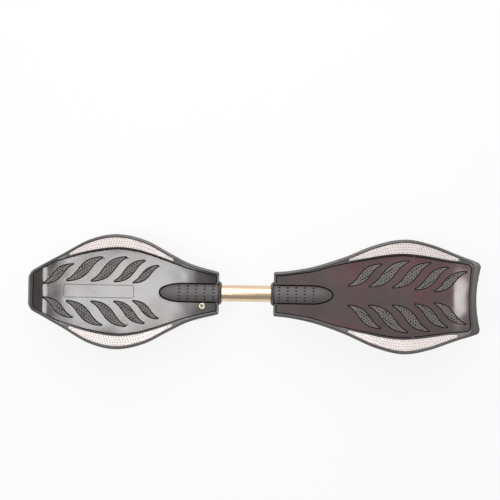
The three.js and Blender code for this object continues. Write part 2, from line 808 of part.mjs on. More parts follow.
function collarSolid(faceX, way) {
  const seat = faceX + way * collarSeat;
  const tip = faceX + way * collarLength;
  const gap = faceX + way * raceGap;
  const bore = tubeRadius + boreGap;
  const profile = [[bore, gap], [collarBase, gap], [collarBase, seat], [collarTip, tip], [bore, tip]];
  return onAxis(turned(profile, tubeFacets, 'x'));
}
addPiece(board, 'front_collar', collarSolid(frontFace, 1), satinBlack);
addPiece(board, 'rear_collar', collarSolid(rearFace, -1), satinBlack);

// Cross bolts through the front barrel, and the two bolts under the rear barrel.
const clampLength = 2 * padHalfWidth + screw.nut + nutStickOut;
clampXs.forEach((x, i) => {
  const label = i === 0 ? 'outer' : 'inner';
  const bolt = screwSolid(screw, clampLength, 'y').translate([x, padHalfWidth, clampHeight]);
  addPiece(board, `clamp_bolt_${label}`, bolt, zincSteel);
  const nut = nutSolid(screw, 'y').translate([x, -padHalfWidth - screw.nut, clampHeight]);
  addPiece(board, `clamp_nut_${label}`, nut, zincSteel);
});

function underBolt(x, top) {
  const bolt = screwSolid(screw, top - stopBottom, 'z');
  return bolt.rotate([180, 0, 0]).translate([x, 0, stopBottom]);
}
addPiece(board, 'stop_bolt', underBolt(stopX, stopTop), zincSteel);
const anchorBoltTop = axisHeight - barWidth / 2 - nutStickOut;
addPiece(board, 'anchor_bolt', underBolt(anchorBoltX, anchorBoltTop), zincSteel);

// One caster, built in its own leaning frame.
function addCaster(plate) {
  const frame = new THREE.Group();
  frame.name = `${plate.name}_caster`;
  frame.position.set(plateX(plate), 0, plateHeight);
  frame.rotation.y = -lean;
  board.add(frame);
  const add = (name, body, look) => addPiece(frame, `${plate.name}_${name}`, body, look);

  const outline = new THREE.Shape();
  const [length, width] = [plateHalfLength, plateHalfWidth];
  outline.moveTo(length - plateCorner, -width);
  outline.lineTo(length, plateCorner - width);
  outline.lineTo(length, width - plateCorner);
  outline.lineTo(length - plateCorner, width);
  outline.lineTo(plateCorner - length, width);
  outline.lineTo(-length, width - plateCorner);
  outline.lineTo(-length, plateCorner - width);
  outline.lineTo(plateCorner - length, -width);
  outline.closePath();
  const slab = solidFrom(new THREE.ExtrudeGeometry(outline, { depth: plateThickness, bevelEnabled: false }));
  const plateHoles = plateCorners.map(([x, y]) => rod(
    screw.shank + screwGap, -plateThickness, 2 * plateThickness, screwFacets, 'z').translate([x, y, 0]));
  plateHoles.push(rod(kingpin.shank + screwGap, -plateThickness, 2 * plateThickness, screwFacets, 'z'));
  add('caster_plate', slab.subtract(joined(plateHoles)), zincSteel);
  plateCorners.forEach(([x, y], i) => {
    const bolt = screwSolid(screw, plateBoltReach, 'z').rotate([180, 0, 0]).translate([x, y, 0]);
    add(`plate_bolt_${i + 1}`, bolt, zincSteel);
  });

  const crownTop = -upperRaceHeight - 2 * raceGap;
  const crownBottom = crownTop - crownThickness;
  const lowerTop = crownBottom - raceGap;
  const lowerBottom = lowerTop - lowerRaceHeight;
  const nutTop = lowerBottom - raceGap;
  const pinLength = plateThickness - nutTop + kingpin.nut + nutStickOut;
  add('kingpin', screwSolid(kingpin, pinLength, 'z').translate([0, 0, plateThickness]), darkSteel);
  add('kingpin_nut', nutSolid(kingpin, 'z').translate([0, 0, nutTop - kingpin.nut]), zincSteel);
  const upperRace = ring(upperRaceInner, upperRaceOuter, crownTop + raceGap, -raceGap, tubeFacets, 'z');
  add('swivel_bearing', upperRace, darkSteel);
  const pinBore = kingpin.shank + screwGap;
  add('lower_race', ring(pinBore, lowerRaceOuter, lowerBottom, lowerTop, ringFacets, 'z'), zincSteel);

  const leg = new THREE.Shape();
  leg.moveTo(legBackX, crownTop);
  leg.lineTo(legBackX, crownBottom);
  for (let i = 0; i <= legSteps; i += 1) {
    const angle = Math.PI + (Math.PI * i) / legSteps;
    leg.lineTo(axleTrail + legBossRadius * Math.cos(angle), -axleDepth + legBossRadius * Math.sin(angle));
  }
  leg.lineTo(legFrontX, crownBottom);
  leg.lineTo(legFrontX, crownTop);
  leg.closePath();
  const parts = [rod(crownRadius, crownBottom, crownTop, tubeFacets, 'z')];
  for (const sign of sideSigns) {
    const legGeometry = new THREE.ExtrudeGeometry(leg, { depth: legThickness, bevelEnabled: false });
    legGeometry.rotateX(Math.PI / 2);
    const nearY = sign > 0 ? legInner + legThickness : -legInner;
    parts.push(solidFrom(legGeometry).translate([0, nearY, 0]));
    const bossEnds = [sign * spacingBossInner, sign * (legInner + legThickness / 2)].sort((a, b) => a - b);
    const boss = rod(spacingBoss, bossEnds[0], bossEnds[1], ringFacets, 'y');
    parts.push(boss.translate([axleTrail, 0, -axleDepth]));
  }
  const outerLeg = legInner + legThickness;
  const axleHole = rod(axle.shank + screwGap, -2 * outerLeg, 2 * outerLeg, screwFacets, 'y')
    .translate([axleTrail, 0, -axleDepth]);
  const pinClear = pinBore / Math.cos(Math.PI / screwFacets);
  const pinHole = rod(pinClear, crownBottom - crownThickness, 0, screwFacets, 'z');
  add('fork', joined(parts).subtract(joined([axleHole, pinHole])), zincSteel);

  const atAxle = (body) => body.translate([axleTrail, 0, -axleDepth]);
  const axleLength = 2 * outerLeg + axle.nut + nutStickOut;
  add('axle_bolt', atAxle(screwSolid(axle, axleLength, 'y').translate([0, outerLeg, 0])), zincSteel);
  add('axle_nut', atAxle(nutSolid(axle, 'y').translate([0, -outerLeg - axle.nut, 0])), zincSteel);
  const boreRadius = axle.shank + screwGap;
  const spacerEnd = bearingHalfGap - bearingGap;
  add('axle_spacer', atAxle(ring(boreRadius, spacerOuter, -spacerEnd, spacerEnd, screwFacets, 'y')), zincSteel);
  for (const sign of sideSigns) {
    const ends = [sign * bearingHalfGap, sign * (bearingHalfGap + bearingWidth)].sort((a, b) => a - b);
    const inner = ring(boreRadius, bearingRaceOuter, ends[0], ends[1], ringFacets, 'y');
    add(`bearing_inner_${sideNames[sign]}`, atAxle(inner), zincSteel);
    const outer = ring(bearingShoulder, bearingOuter, ends[0], ends[1], ringFacets, 'y');
    add(`bearing_outer_${sideNames[sign]}`, atAxle(outer), darkSteel);
  }

  const seat = bearingOuter + bearingGap;
  const corner = (apothem) => apothem / Math.cos(Math.PI / wheelFacets);
  const core = turned([
    [seat, -tyreHalfWidth], [hubRadius, -tyreHalfWidth], [hubRadius, -coreWebHalfWidth],
    [coreRimInner, -coreWebHalfWidth], [coreRimInner, -coreHalfWidth], [coreRadius, -coreHalfWidth],
    [coreRadius, coreHalfWidth], [coreRimInner, coreHalfWidth], [coreRimInner, coreWebHalfWidth],
    [hubRadius, coreWebHalfWidth], [hubRadius, tyreHalfWidth], [seat, tyreHalfWidth],
  ], tubeFacets, 'y');
  add('wheel_core', atAxle(core), nylonWhite);
  const inner = corner(coreRadius + bondGap);
  const tread = corner(wheelRadius);
  const shoulder = corner(wheelRadius - shoulderDrop);
  const wall = corner(wheelRadius - tyreSideDrop);
  const tyre = turned([
    [inner, -coreHalfWidth], [wall, -tyreHalfWidth], [shoulder, -shoulderHalfWidth], [tread, -treadHalfWidth],
    [tread, treadHalfWidth], [shoulder, shoulderHalfWidth], [wall, tyreHalfWidth], [inner, coreHalfWidth],
  ], wheelFacets, 'y');
  add('tyre', atAxle(tyre), tyreRubber);
}
addCaster(frontPlate);
addCaster(rearPlate);

export default board;
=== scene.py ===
"""Caster board: fine shapes, finishes, light and camera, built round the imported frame.

Lengths are written in millimetres and become metres when a mesh is made.
Insets run from a footplate's outer end to the tube, sides run out from the centre line.
"""

import json
import math

import bpy
import bmesh
import numpy as np
from mathutils import Matrix, Vector
from mathutils.geometry import delaunay_2d_cdt
from mathutils.kdtree import KDTree


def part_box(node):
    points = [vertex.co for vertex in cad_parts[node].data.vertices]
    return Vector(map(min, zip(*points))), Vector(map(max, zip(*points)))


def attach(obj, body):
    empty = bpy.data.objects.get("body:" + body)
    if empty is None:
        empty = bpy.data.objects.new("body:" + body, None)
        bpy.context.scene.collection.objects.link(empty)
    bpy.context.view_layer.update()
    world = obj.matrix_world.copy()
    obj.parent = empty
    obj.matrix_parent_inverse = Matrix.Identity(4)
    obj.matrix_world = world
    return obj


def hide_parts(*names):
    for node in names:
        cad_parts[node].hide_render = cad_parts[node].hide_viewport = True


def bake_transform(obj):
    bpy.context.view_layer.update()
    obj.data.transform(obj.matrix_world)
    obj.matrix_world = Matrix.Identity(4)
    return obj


bl_info = {
    "name": "Caster board",
    "version": (1, 0, 0),
    "blender": (4, 5, 0),
    "location": "3D View > Sidebar > Caster board",
    "description": "Builds the fine shapes and finishes of a caster board round its frame",
    "category": "Object",
}

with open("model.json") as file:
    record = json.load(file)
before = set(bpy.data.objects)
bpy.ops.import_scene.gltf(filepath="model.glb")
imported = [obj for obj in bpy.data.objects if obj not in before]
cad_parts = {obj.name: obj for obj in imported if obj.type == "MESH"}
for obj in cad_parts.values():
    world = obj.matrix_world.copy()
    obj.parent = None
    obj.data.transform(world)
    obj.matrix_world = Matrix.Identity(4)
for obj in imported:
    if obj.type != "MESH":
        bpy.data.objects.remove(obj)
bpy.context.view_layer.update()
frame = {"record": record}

# ------------------------------------------------------------------ sizes of the frame, millimetres
BOARD_HALF_WIDTH = 110.55
FLOOR_HEIGHT = 100.0
AXIS_HEIGHT = 90.0
FLOOR_THICKNESS = 4.0
RIM_WIDTH = 5.7
FRAME_RIM_WIDTH = 7.0
RIM_STEP = 2.0
RIM_RAISE = 2.5
RIM_CROWN = 0.34
RIM_ROUND = 2.5
WING_SLOPE = 0.5
BANK_RUN = 1.8
BANK_SHARE = 0.55
SKIRT_WALL = 4.0
SKIRT_DEPTH = 20.0
SKIRT_FOLLOW = 0.5
GROOVE_HALF_WIDTH = 1.2
GROOVE_GAP = 0.6
INNER_GROOVE_INSET = 4.5
RIB_THICKNESS = 3.0
RIB_LIFT = 2.0
RIB_SIDE_OFFSET = 36.0
RIB_INSETS = (62.0, 124.0, 186.0, 248.0)
LEAF_STRETCH = 3.0
GRIP_MARGIN = 0.8
GRIP_GAP = 0.3
GRIP_DEPTH = 1.5
GRIP_PROUD = 0.4
DOME_RADIUS = 20.0
DOME_STRAIGHT = 72.0
DOME_NOSE = 48.5
BARREL_RADIUS = 23.0
BARREL_LENGTH = 80.0
PAD_HALF_WIDTH = 24.0
PAD_HALF_LENGTH = 8.0
PAD_DROP = 17.0
BORE_GAP = 0.3
TUBE_RADIUS = 16.0
TUBE_WALL = 2.0
TUBE_ENDS = (-140.0, 92.0)
BAR_EDGE = 0.4
BAR_SECTIONS = 61
COLLAR_LENGTH = 5.4
COLLAR_BASE = 23.0
COLLAR_TIP = 19.2
COLLAR_SEAT = 1.8
CLAMP_PLACES = (-129.0, -109.0)
CLAMP_DROP = 8.0
BUSH_BORE = 18.3
ANCHOR_BORE = 15.3
ANCHOR_END = 109.5
STOP_PLACE = 65.0
ANCHOR_BOLT_PLACE = 101.5
STOP_SLOT_TURN = 44.0
PLUG_PLACE = (-100.0, -25.0)
PLUG_RADIUS = 5.6
PLUG_HEIGHT = 2.4
PLUG_PROUD = 0.6
PLUG_RIM = 3.75
PLUG_BOSS = 0.9
SCREW_GAP = 0.3
NUT_STICK_OUT = 1.5
SCREW = {"shank": 3.0, "across": 10.0, "head": 4.0, "nut": 5.0}
KINGPIN = {"shank": 5.0, "across": 16.0, "head": 6.0, "nut": 4.5}
AXLE = {"shank": 4.0, "across": 13.0, "head": 5.0, "nut": 6.0}
LEAN = math.radians(30.0)
WHEEL_RADIUS = 38.0
AXLE_DEPTH = 54.0
AXLE_TRAIL = 24.0
CASTER_PLACES = {"front": -300.0, "rear": 240.0}
PLATE_HEIGHT = WHEEL_RADIUS + AXLE_DEPTH * math.cos(LEAN) - AXLE_TRAIL * math.sin(LEAN)
PLATE_HALF_LENGTH = 35.0
PLATE_HALF_WIDTH = 29.0
PLATE_THICKNESS = 3.0
PLATE_CORNER = 6.0
PLATE_BOLTS = ((-27.0, -21.0), (-27.0, 21.0), (27.0, -21.0), (27.0, 21.0))
PLATE_BOLT_REACH = 12.0
WEDGE_MARGIN = 2.0
PIN_POCKET_RADIUS = 10.5
PIN_POCKET_GAP = 1.0
RACE_GAP = 0.3
UPPER_RACE = (12.0, 22.0, 4.7)
CROWN_THICKNESS = 3.0
CROWN_RADIUS = 26.0
LOWER_RACE_HEIGHT = 2.4
LOWER_RACE_OUTER = 14.0
LEG_INNER = 14.6
LEG_THICKNESS = 3.0
LEG_BOSS_RADIUS = 11.0
LEG_BACK = -15.0
LEG_FRONT = 21.0
SPACING_BOSS = 7.0
SPACING_BOSS_INNER = 11.9
HUB_HALF_WIDTH = 12.0
CORE_RADIUS = 26.0
CORE_HALF_WIDTH = 10.5
CORE_WEB_HALF_WIDTH = 5.0
CORE_RIM_INNER = 22.0
HUB_RADIUS = 14.5
BOND_GAP = 0.1
BEARING_OUTER = 11.0
BEARING_SHOULDER = 6.6
BEARING_RACE_OUTER = 6.2
BEARING_HALF_GAP = 4.5
BEARING_WIDTH = 7.0
CLAMP_HEAD = PAD_HALF_WIDTH
CLAMP_LENGTH = 54.5
STOP_TOP = 79.0
ANCHOR_TOP = 86.0
BARREL_BOTTOM = AXIS_HEIGHT - BARREL_RADIUS
BARREL_LEVEL = FLOOR_HEIGHT - AXIS_HEIGHT - 1.0
CAMERA_PLACE = (-0.00929, 0.08464)
CAMERA_TURN = 1.05
SOFTBOX_PLACE = (-0.496, -0.085, 1.6)
SOFTBOX_SIZE = (0.480, 0.32)
SIDE_BOX_PLACE = (0.0, 1.15, 1.37)
SIDE_BOX_SIZE = (1.8, 2.0)
FLOOR_WHITE_SHARE = 0.85
SIDE_NAMES = {-1: "left", 1: "right"}
TUBE_AXIS = Matrix.Translation((0.0, 0.0, AXIS_HEIGHT))
UPSIDE_DOWN = Matrix.Rotation(math.pi, 4, "X")
SCREW_HOLE = SCREW["shank"] + SCREW_GAP
AXLE_HOLE = AXLE["shank"] + SCREW_GAP
PIN_HOLE = KINGPIN["shank"] + SCREW_GAP
DOME_HALF_WIDTH = math.sqrt(DOME_RADIUS ** 2 - (FLOOR_HEIGHT - AXIS_HEIGHT) ** 2)
FORK_TOP = -UPPER_RACE[2] - 2 * RACE_GAP
CROWN_LOW = FORK_TOP - CROWN_THICKNESS
TREAD_ROUND = 19.2
TREAD_HALF_WIDTH = 11.0
TREAD_TURN = math.radians(68.0)
TREAD_FALL = 0.55
SPOKES = 10
SPOKE_HALF_THICKNESS = 0.9
SHIELD_EDGE = 9.3
STOP_SLOT_REACH = 20.0
PANEL_MIDDLE = (132.5, 0.0)
PANEL_HALF_LENGTH = 67.5
PANEL_HALF_WIDTH = 12.3
PANEL_CORNER = 4.0

FOOTPLATES = {
    "front": {
        "way": -1, "length": 364.0, "lip_rise": 14.0, "lip_run": 31.0, "lip_power": 2.0,
        "notch": 0.0, "end_rim": 6.0, "rim_corner": 4.0, "floor_corner": 4.0, "face": -68.0,
        "outline": ((0, .275), (.024, .369), (.17, .645), (.32, .906), (.464, 1), (.61, .899),
                    (.743, .671), (.847, .505), (1, .367)),
        "floor": ((0, .215), (.024, .31), (.11, .487), (.194, .596), (.325, .712), (.459, .749),
                  (.572, .712), (.685, .602), (.814, .465), (.952, .336), (1, .32)),
        "line": ((0, .215), (.024, .31), (.11, .475), (.194, .570), (.325, .682), (.459, .742),
                 (.572, .702), (.685, .592), (.814, .448), (.952, .336), (1, .32)),
        "leaves": ((.066, .132, .226, .456), (.188, .188, .386, .586), (.32, .187, .512, .594),
                   (.441, .182, .61, .541), (.543, .168, .683, .452)),
        "grips": (.205, .757),
    },
    "rear": {
        "way": 1, "length": 394.0, "lip_rise": 24.0, "lip_run": 68.0, "lip_power": 1.5,
        "notch": 9.0, "end_rim": 13.0, "rim_corner": 9.0, "floor_corner": 8.0, "face": 38.0,
        "outline": ((0, .575), (.0127, .615), (.085, .718), (.235, .917), (.367, .996),
                    (.504, .893), (.651, .674), (.797, .5), (.92, .412), (1, .385)),
        "floor": ((0, .5), (.03, .56), (.085, .61), (.14, .645), (.235, .72), (.3, .742),
                  (.367, .738), (.445, .715), (.55, .65), (.69, .545), (.83, .4), (1, .33)),
        "line": ((0, .5), (.03, .555), (.085, .598), (.14, .617), (.235, .670), (.3, .70),
                 (.367, .715), (.445, .694), (.55, .627), (.69, .530), (.83, .395), (1, .33)),
        "leaves": ((.638, .179, .471, .55), (.538, .172, .337, .612), (.421, .163, .231, .587),
                   (.312, .137, .141, .516), (.215, .11, .055, .45)),
        "grips": (.100, .656),
    },
}
NOTCH_RUN = 120.0
LEAF_HANDLES = ((.7, 0.0), (.57, .74))
BOARD_HALF_LENGTH = 432.0

# Lines of the net on the upper surface, by distance inside an edge, and the depths cut along them
EDGE_LEVELS = (0.0, 0.25, 0.75, 1.5, 2.5)
RIM_LEVELS = (-2.0, -1.5, -1.0, -0.5, 0.0)
FLOOR_LEVELS = (-3.0, -1.2, -0.6, 0.0, 0.6, 1.2, 1.8)
FLOOR_FROM, FLOOR_LINE_FROM = 1.2, -0.6
LEAF_LEVELS = (-1.5, -1.1, -0.6, -0.2, 0.0, 0.3, 0.6, 0.85)
LEAF_DEPTHS = (0.0, 0.0, 0.2, 0.6, 1.15, 1.3, 1.1, 0.4)
LEAF_FROM, LEAF_LINE_FROM = 0.85, -1.1
PANEL_LEVELS = (-0.6, -0.3, 0.0, 0.3, 0.6)
PANEL_LINE, PANEL_LINE_DEPTHS = (0.0, 0.3, 0.6), (0.35, 0.3, 0.0)
DOME_OFFSETS = (-1.1, -0.5, 0.0, 0.4, 0.8, 1.5, 1.9, 2.4)
DOME_DEPTHS = (0.0, 0.35, 0.9, 1.0, 0.9, 0.4, 0.0, 0.0)
DOME_FROM, DOME_LINE_FROM = -1.1, 1.5
DOME_SHARES = (0.87, 0.77, 0.64, 0.49, 0.33, 0.17)
DIMPLE_SHARES = (1.0, 0.7, 0.35)
DIMPLE_DEPTHS = (0.0, 0.9, 1.2)
DIMPLE_INSET, DIMPLE_PITCH, DIMPLE_TURN = 10.4, 16.4, 19.4
PIT_SHARES, PIT_DEPTHS = (0.0, 0.6, 1.0), (0.9, 0.8, 0.0)
PLUG_RING_GAPS = (0.0, 0.15, 0.6)
GRIP_WALL = 0.12
GRIP_LEVELS = (0.0, 0.15, 0.4, 0.65)
GRIP_EDGE_ROUND = 0.7
GRIP_PIT_SHARES, GRIP_PIT_DEPTHS = (0.0, 0.55, 1.0), (0.6, 0.5, 0.0)
EDGE_WALL = 0.8
UPPER_STEP, LOWER_STEP, GRIP_STEP = 4.2, 6.0, 3.4

# Finish numbers of a footplate's faces, in the order of its material slots; the fourth is
# near-black painted shade in grooves, pits and dimples
FLOOR, SHELL, LEAF, GROOVE_SHADE, DOME = range(5)


# ------------------------------------------------------------------ form of the footplates
def smooth_through(shares, along):
    """A smooth curve through share points, the one the frame follows."""
    places = np.array([pair[0] for pair in shares], float)
    values = np.array([pair[1] for pair in shares], float)
    last = len(places) - 1
    before = np.maximum(np.arange(last + 1) - 1, 0)
    after = np.minimum(np.arange(last + 1) + 1, last)
    slopes = (values[after] - values[before]) / (places[after] - places[before])
    at = np.clip(np.asarray(along, float), places[0], places[-1])
    k = np.clip(np.searchsorted(places, at, side="right") - 1, 0, last - 1)
    span = places[k + 1] - places[k]
    t = (at - places[k]) / span
    square, cube = t * t, t * t * t
    return ((2 * cube - 3 * square + 1) * values[k] + (cube - 2 * square + t) * span * slopes[k]
            + (3 * square - 2 * cube) * values[k + 1] + (cube - square) * span * slopes[k + 1])


def half_width(plate, u):
    return BOARD_HALF_WIDTH * smooth_through(plate["outline"], np.asarray(u) / plate["length"])


def beside_rim(plate, curve, u, rim_width):
    """Half the width inside a curve of the footplate, kept clear of a rim of one width."""
    wished = BOARD_HALF_WIDTH * smooth_through(plate[curve], np.asarray(u) / plate["length"])
    return np.minimum(wished, half_width(plate, u) - rim_width - GROOVE_HALF_WIDTH - GROOVE_GAP)


def floor_half(plate, u):
    return beside_rim(plate, "line", u, RIM_WIDTH)


def wing_rise(plate, u):
    """How high a wing stands at the rim, which is as high as in the frame."""
    start = beside_rim(plate, "floor", u, FRAME_RIM_WIDTH)
    return WING_SLOPE * (half_width(plate, u) - FRAME_RIM_WIDTH - start - GROOVE_HALF_WIDTH)


def place_x(plate, u, v):
    across = np.minimum(np.abs(v) / half_width(plate, u), 1.0)
    fade = np.maximum(0.0, 1.0 - u / NOTCH_RUN)
    hollow = plate["notch"] * (1 - across * across) * fade * fade
    return plate["way"] * (BOARD_HALF_LENGTH - u - hollow)


def base_height(plate, u):
    fade = np.maximum(0.0, 1.0 - np.asarray(u) / plate["lip_run"])
    return FLOOR_HEIGHT + plate["lip_rise"] * fade ** plate["lip_power"]


def wing_width(plate, u):
    return half_width(plate, u) - RIM_WIDTH - floor_half(plate, u) - GROOVE_HALF_WIDTH


def bank_run(plate, u):
    """Width of the steep bank between the floor's line and a wing."""
    return np.minimum(BANK_RUN, 0.4 * wing_width(plate, u))


def plain_height(plate, u, v):
    climb, bank = np.abs(v) - floor_half(plate, u) - GROOVE_HALF_WIDTH, bank_run(plate, u)
    steep = BANK_SHARE * np.clip(climb / bank, 0.0, 1.0)
    gentle = (1.0 - BANK_SHARE) * np.clip((climb - bank) / (wing_width(plate, u) - bank), 0.0, 1.0)
    return base_height(plate, u) + wing_rise(plate, u) * (steep + gentle)


def even_height(plate, u, v):
    """The same surface with an even slope from floor to rim, which the underside follows."""
    climb = np.abs(v) - floor_half(plate, u) - GROOVE_HALF_WIDTH
    share = np.clip(climb / wing_width(plate, u), 0.0, 1.0)
    return base_height(plate, u) + wing_rise(plate, u) * share


def skirt_height(plate, u):
    follow = SKIRT_FOLLOW * wing_rise(plate, u)
    return base_height(plate, u) + RIM_RAISE + follow - SKIRT_DEPTH


def corner(a, b, radius):
    """Distance inside two edges that meet in a rounded corner."""
    rounded = radius - np.hypot(np.maximum(radius - a, 0.0), np.maximum(radius - b, 0.0))
    return np.where((a < radius) | (b < radius), rounded, np.minimum(a, b))


def smooth_step(share):
    t = np.clip(share, 0.0, 1.0)
    return t * t * (3 - 2 * t)


class Area:
    """An area on a footplate, alike on both sides of the centre line, with rounded corners."""

    def __init__(self, side, start, end, start_round, end_round, step=3.0):
        self.side, self.start, self.end = side, start, end
        self.start_round, self.end_round, self.step = start_round, end_round, step

    def inside(self, u, v):
        across = self.side(u) - np.abs(v)
        return np.minimum(corner(across, u - self.start, self.start_round),
                          corner(across, self.end - u, self.end_round))

    def half_loop(self, level):
        """Points at one distance inside, from the middle of the outer end to that of the inner."""
        quarter = np.linspace(0, math.pi / 2, 7)
        parts = []
        for at_start in (True, False):
            radius = self.start_round if at_start else self.end_round
            a = radius - (radius - level) * np.cos(quarter)
            b = radius - (radius - level) * np.sin(quarter)
            u = self.start + b if at_start else self.end - b
            arc = np.column_stack([u, self.side(u) - a])[::-1]
            step = 3.0 if at_start else 1.3
            count = max(3, int(self.side(self.start if at_start else self.end) / step))
            end_v = np.linspace(0, 1, count, endpoint=False) * arc[0][1]
            end = np.column_stack([np.full(count, arc[0][0]), end_v])
            parts.append(np.vstack([end, arc]))
        count = int((self.end - self.start) / self.step)
        first, last = self.start + self.start_round, self.end - self.end_round
        u = np.linspace(first, last, count + 1)[1:-1]
        side = np.column_stack([u, self.side(u) - level])
        return np.vstack([parts[0], side, parts[1][::-1]])

    def loop(self, level):
        """The whole closed line at one distance inside."""
        half = self.half_loop(level)
        other = half[1:-1][::-1] * np.array([1.0, -1.0])
        return np.vstack([half, other])


def outward_of(points):
    """A closed line turned anticlockwise, and the direction straight out of it at each point."""
    points = np.asarray(points, float)
    ahead = np.roll(points, -1, axis=0)
    if np.sum(points[:, 0] * ahead[:, 1] - ahead[:, 0] * points[:, 1]) < 0:
        points = points[::-1]
    along = np.roll(points, -1, axis=0) - np.roll(points, 1, axis=0)
    along /= np.maximum(np.linalg.norm(along, axis=1), 1e-9)[:, None]
    return points, np.column_stack([along[:, 1], -along[:, 0]])


class Outline:
    """A closed free shape with rounded tips, and lines at any distance inside or outside it."""

    def __init__(self, points, radius, thin=1):
        points, outward = outward_of(points)
        core = points - outward * radius
        clear = distance_to_line(core, points) >= radius * 0.985
        first = next((i for i in range(len(clear)) if clear[i] and not clear[i - 1]), 0)
        order = [(first + i) % len(clear) for i in range(len(clear))]
        self.radius = radius
        self.runs = []
        for i in order:
            if not clear[i]:
                continue
            if not clear[i - 1] or not self.runs:
                self.runs.append([])
            self.runs[-1].append((core[i], outward[i]))
        self.runs = [run[:-1:thin] + run[-1:] for run in self.runs]
        self.core = np.array([pair[0] for run in self.runs for pair in run])

    def inside(self, points):
        points = np.asarray(points, float)
        gap = distance_to_line(points, self.core)
        return np.where(within(points, self.core), self.radius + gap, self.radius - gap)

    def loop(self, level, arc_steps=5):
        reach = self.radius - level
        line = []
        for k, run in enumerate(self.runs):
            line += [place + outward * reach for place, outward in run]
            following = self.runs[(k + 1) % len(self.runs)][0]
            centre = (run[-1][0] + following[0]) / 2
            start = math.atan2(run[-1][1][1], run[-1][1][0])
            turn = (math.atan2(following[1][1], following[1][0]) - start) % (2 * math.pi)
            if turn < 0.2 or turn > 5.0:
                continue
            for i in range(1, arc_steps):
                angle = start + turn * i / arc_steps
                line.append(centre + reach * np.array([math.cos(angle), math.sin(angle)]))
        return np.array(line)


def filled_in(line, step):
    """A closed line with points added on its long stretches."""
    result = []
    for start, end in zip(line, np.roll(line, -1, axis=0)):
        count = max(1, int(np.linalg.norm(end - start) / step))
        result += [start + (end - start) * k / count for k in range(count)]
    return np.array(result)


def distance_to_line(points, line):
    """Shortest distance from each point to a closed line."""
    start, end = line, np.roll(line, -1, axis=0)
    along = end - start
    length = np.maximum((along ** 2).sum(1), 1e-12)
    nearest = np.full(len(points), np.inf)
    for block in range(0, len(points), 4000):
        some = points[block:block + 4000, None, :] - start[None]
        share = np.clip((some * along[None]).sum(2) / length, 0, 1)
        gap = np.linalg.norm(some - share[..., None] * along[None], axis=2)
        nearest[block:block + 4000] = gap.min(1)
    return nearest


def within(points, line):
    """Whether each point lies inside a closed line."""
    x, y = points[:, 0][:, None], points[:, 1][:, None]
    x1, y1 = line[:, 0][None], line[:, 1][None]
    x2, y2 = np.roll(line, -1, axis=0).T[:, None, :]
    crosses = (y1 > y) != (y2 > y)
    with np.errstate(divide="ignore", invalid="ignore"):
        at = x1 + (y - y1) * (x2 - x1) / (y2 - y1)
    return (np.sum(crosses & (x < at), axis=1) % 2) == 1


def leaf_points(plate, shares, sign, count=157):
    """The two S-shaped edges of one leaf, in inset and side."""
    t = (0.5 - 0.5 * np.cos(np.linspace(0, math.pi, count)))[:, None]
    first, second = np.array(LEAF_HANDLES[0]), np.array(LEAF_HANDLES[1])
    going = 3 * (1 - t) ** 2 * t * first + 3 * (1 - t) * t * t * second + t ** 3
    unit = np.vstack([going, 1 - going[1:-1]])
    tips = np.array([[shares[0] * plate["length"], shares[1] * BOARD_HALF_WIDTH],
                     [shares[2] * plate["length"], shares[3] * BOARD_HALF_WIDTH]])
    along = (tips[1] - tips[0]) / np.linalg.norm(tips[1] - tips[0])
    tips += np.array([-1.0, 1.0])[:, None] * along * LEAF_STRETCH
    return (tips[0] + unit * (tips[1] - tips[0])) * np.array([1.0, sign])


def grip_points(plate, sign, count=361):
    """The outline of one side grip, in inset and side."""
    start, end = (share * plate["length"] for share in plate["grips"])
    u = start + (end - start) * (0.5 - 0.5 * np.cos(np.linspace(0, math.pi, count)))
    inner = floor_half(plate, u) + GROOVE_HALF_WIDTH + bank_run(plate, u) + GRIP_MARGIN
    outer = half_width(plate, u) - RIM_WIDTH - GRIP_MARGIN
    ends = np.linspace(0, 1, 41)[1:-1, None]
    near, far = np.array([u[0], inner[0]]), np.array([u[-1], outer[-1]])
    line = np.vstack([
        np.column_stack([u, inner]),
        np.array([u[-1], inner[-1]]) + ends * (far - np.array([u[-1], inner[-1]])),
        np.column_stack([u, outer])[::-1],
        np.array([u[0], outer[0]]) + ends * (near - np.array([u[0], outer[0]])),
    ])
    return line * np.array([1.0, sign])


def dome_reach(plate, u, v):
    """Distance outside the edge where a dome meets the floor."""
    straight_end = plate["length"] - DOME_STRAIGHT
    half, nose = DOME_HALF_WIDTH, DOME_NOSE * DOME_HALF_WIDTH / DOME_RADIUS
    ahead = np.maximum(straight_end - u, 0.0)
    q = np.maximum(np.hypot(ahead / nose, v / half), 1e-6)
    steep = np.hypot(ahead / nose ** 2, v / half ** 2) / q
    return np.where(ahead > 0, (q - 1) / np.maximum(steep, 1e-6), np.abs(v) - half)


def dome_height(plate, u, v):
    ahead = np.maximum(plate["length"] - DOME_STRAIGHT - u, 0.0) / DOME_NOSE
    inner = DOME_RADIUS ** 2 * (1 - ahead * ahead) - v * v
    return AXIS_HEIGHT + np.sqrt(np.maximum(inner, (FLOOR_HEIGHT - AXIS_HEIGHT) ** 2))


def dome_line(plate, share, offset):
    """A line round a dome: the edge shrunk by a share, or moved out by an offset."""
    half, nose = DOME_HALF_WIDTH, DOME_NOSE * DOME_HALF_WIDTH / DOME_RADIUS
    straight_end = plate["length"] - DOME_STRAIGHT
    angle = np.linspace(0, math.pi, 37)
    ahead, side = nose * np.sin(angle) * share, half * np.cos(angle) * share
    normal = np.column_stack([np.sin(angle) / nose, np.cos(angle) / half])
    normal /= np.linalg.norm(normal, axis=1)[:, None]
    ahead, side = ahead + offset * normal[:, 0], side + offset * normal[:, 1]
    run = np.arange(plate["length"] - 0.25, straight_end + 1, -3.0)
    first = np.column_stack([run, np.full(len(run), side[0])])
    nose_part = np.column_stack([straight_end - ahead, side])
    last = np.column_stack([run[::-1], np.full(len(run), side[-1])])
    return np.vstack([first, nose_part, last])


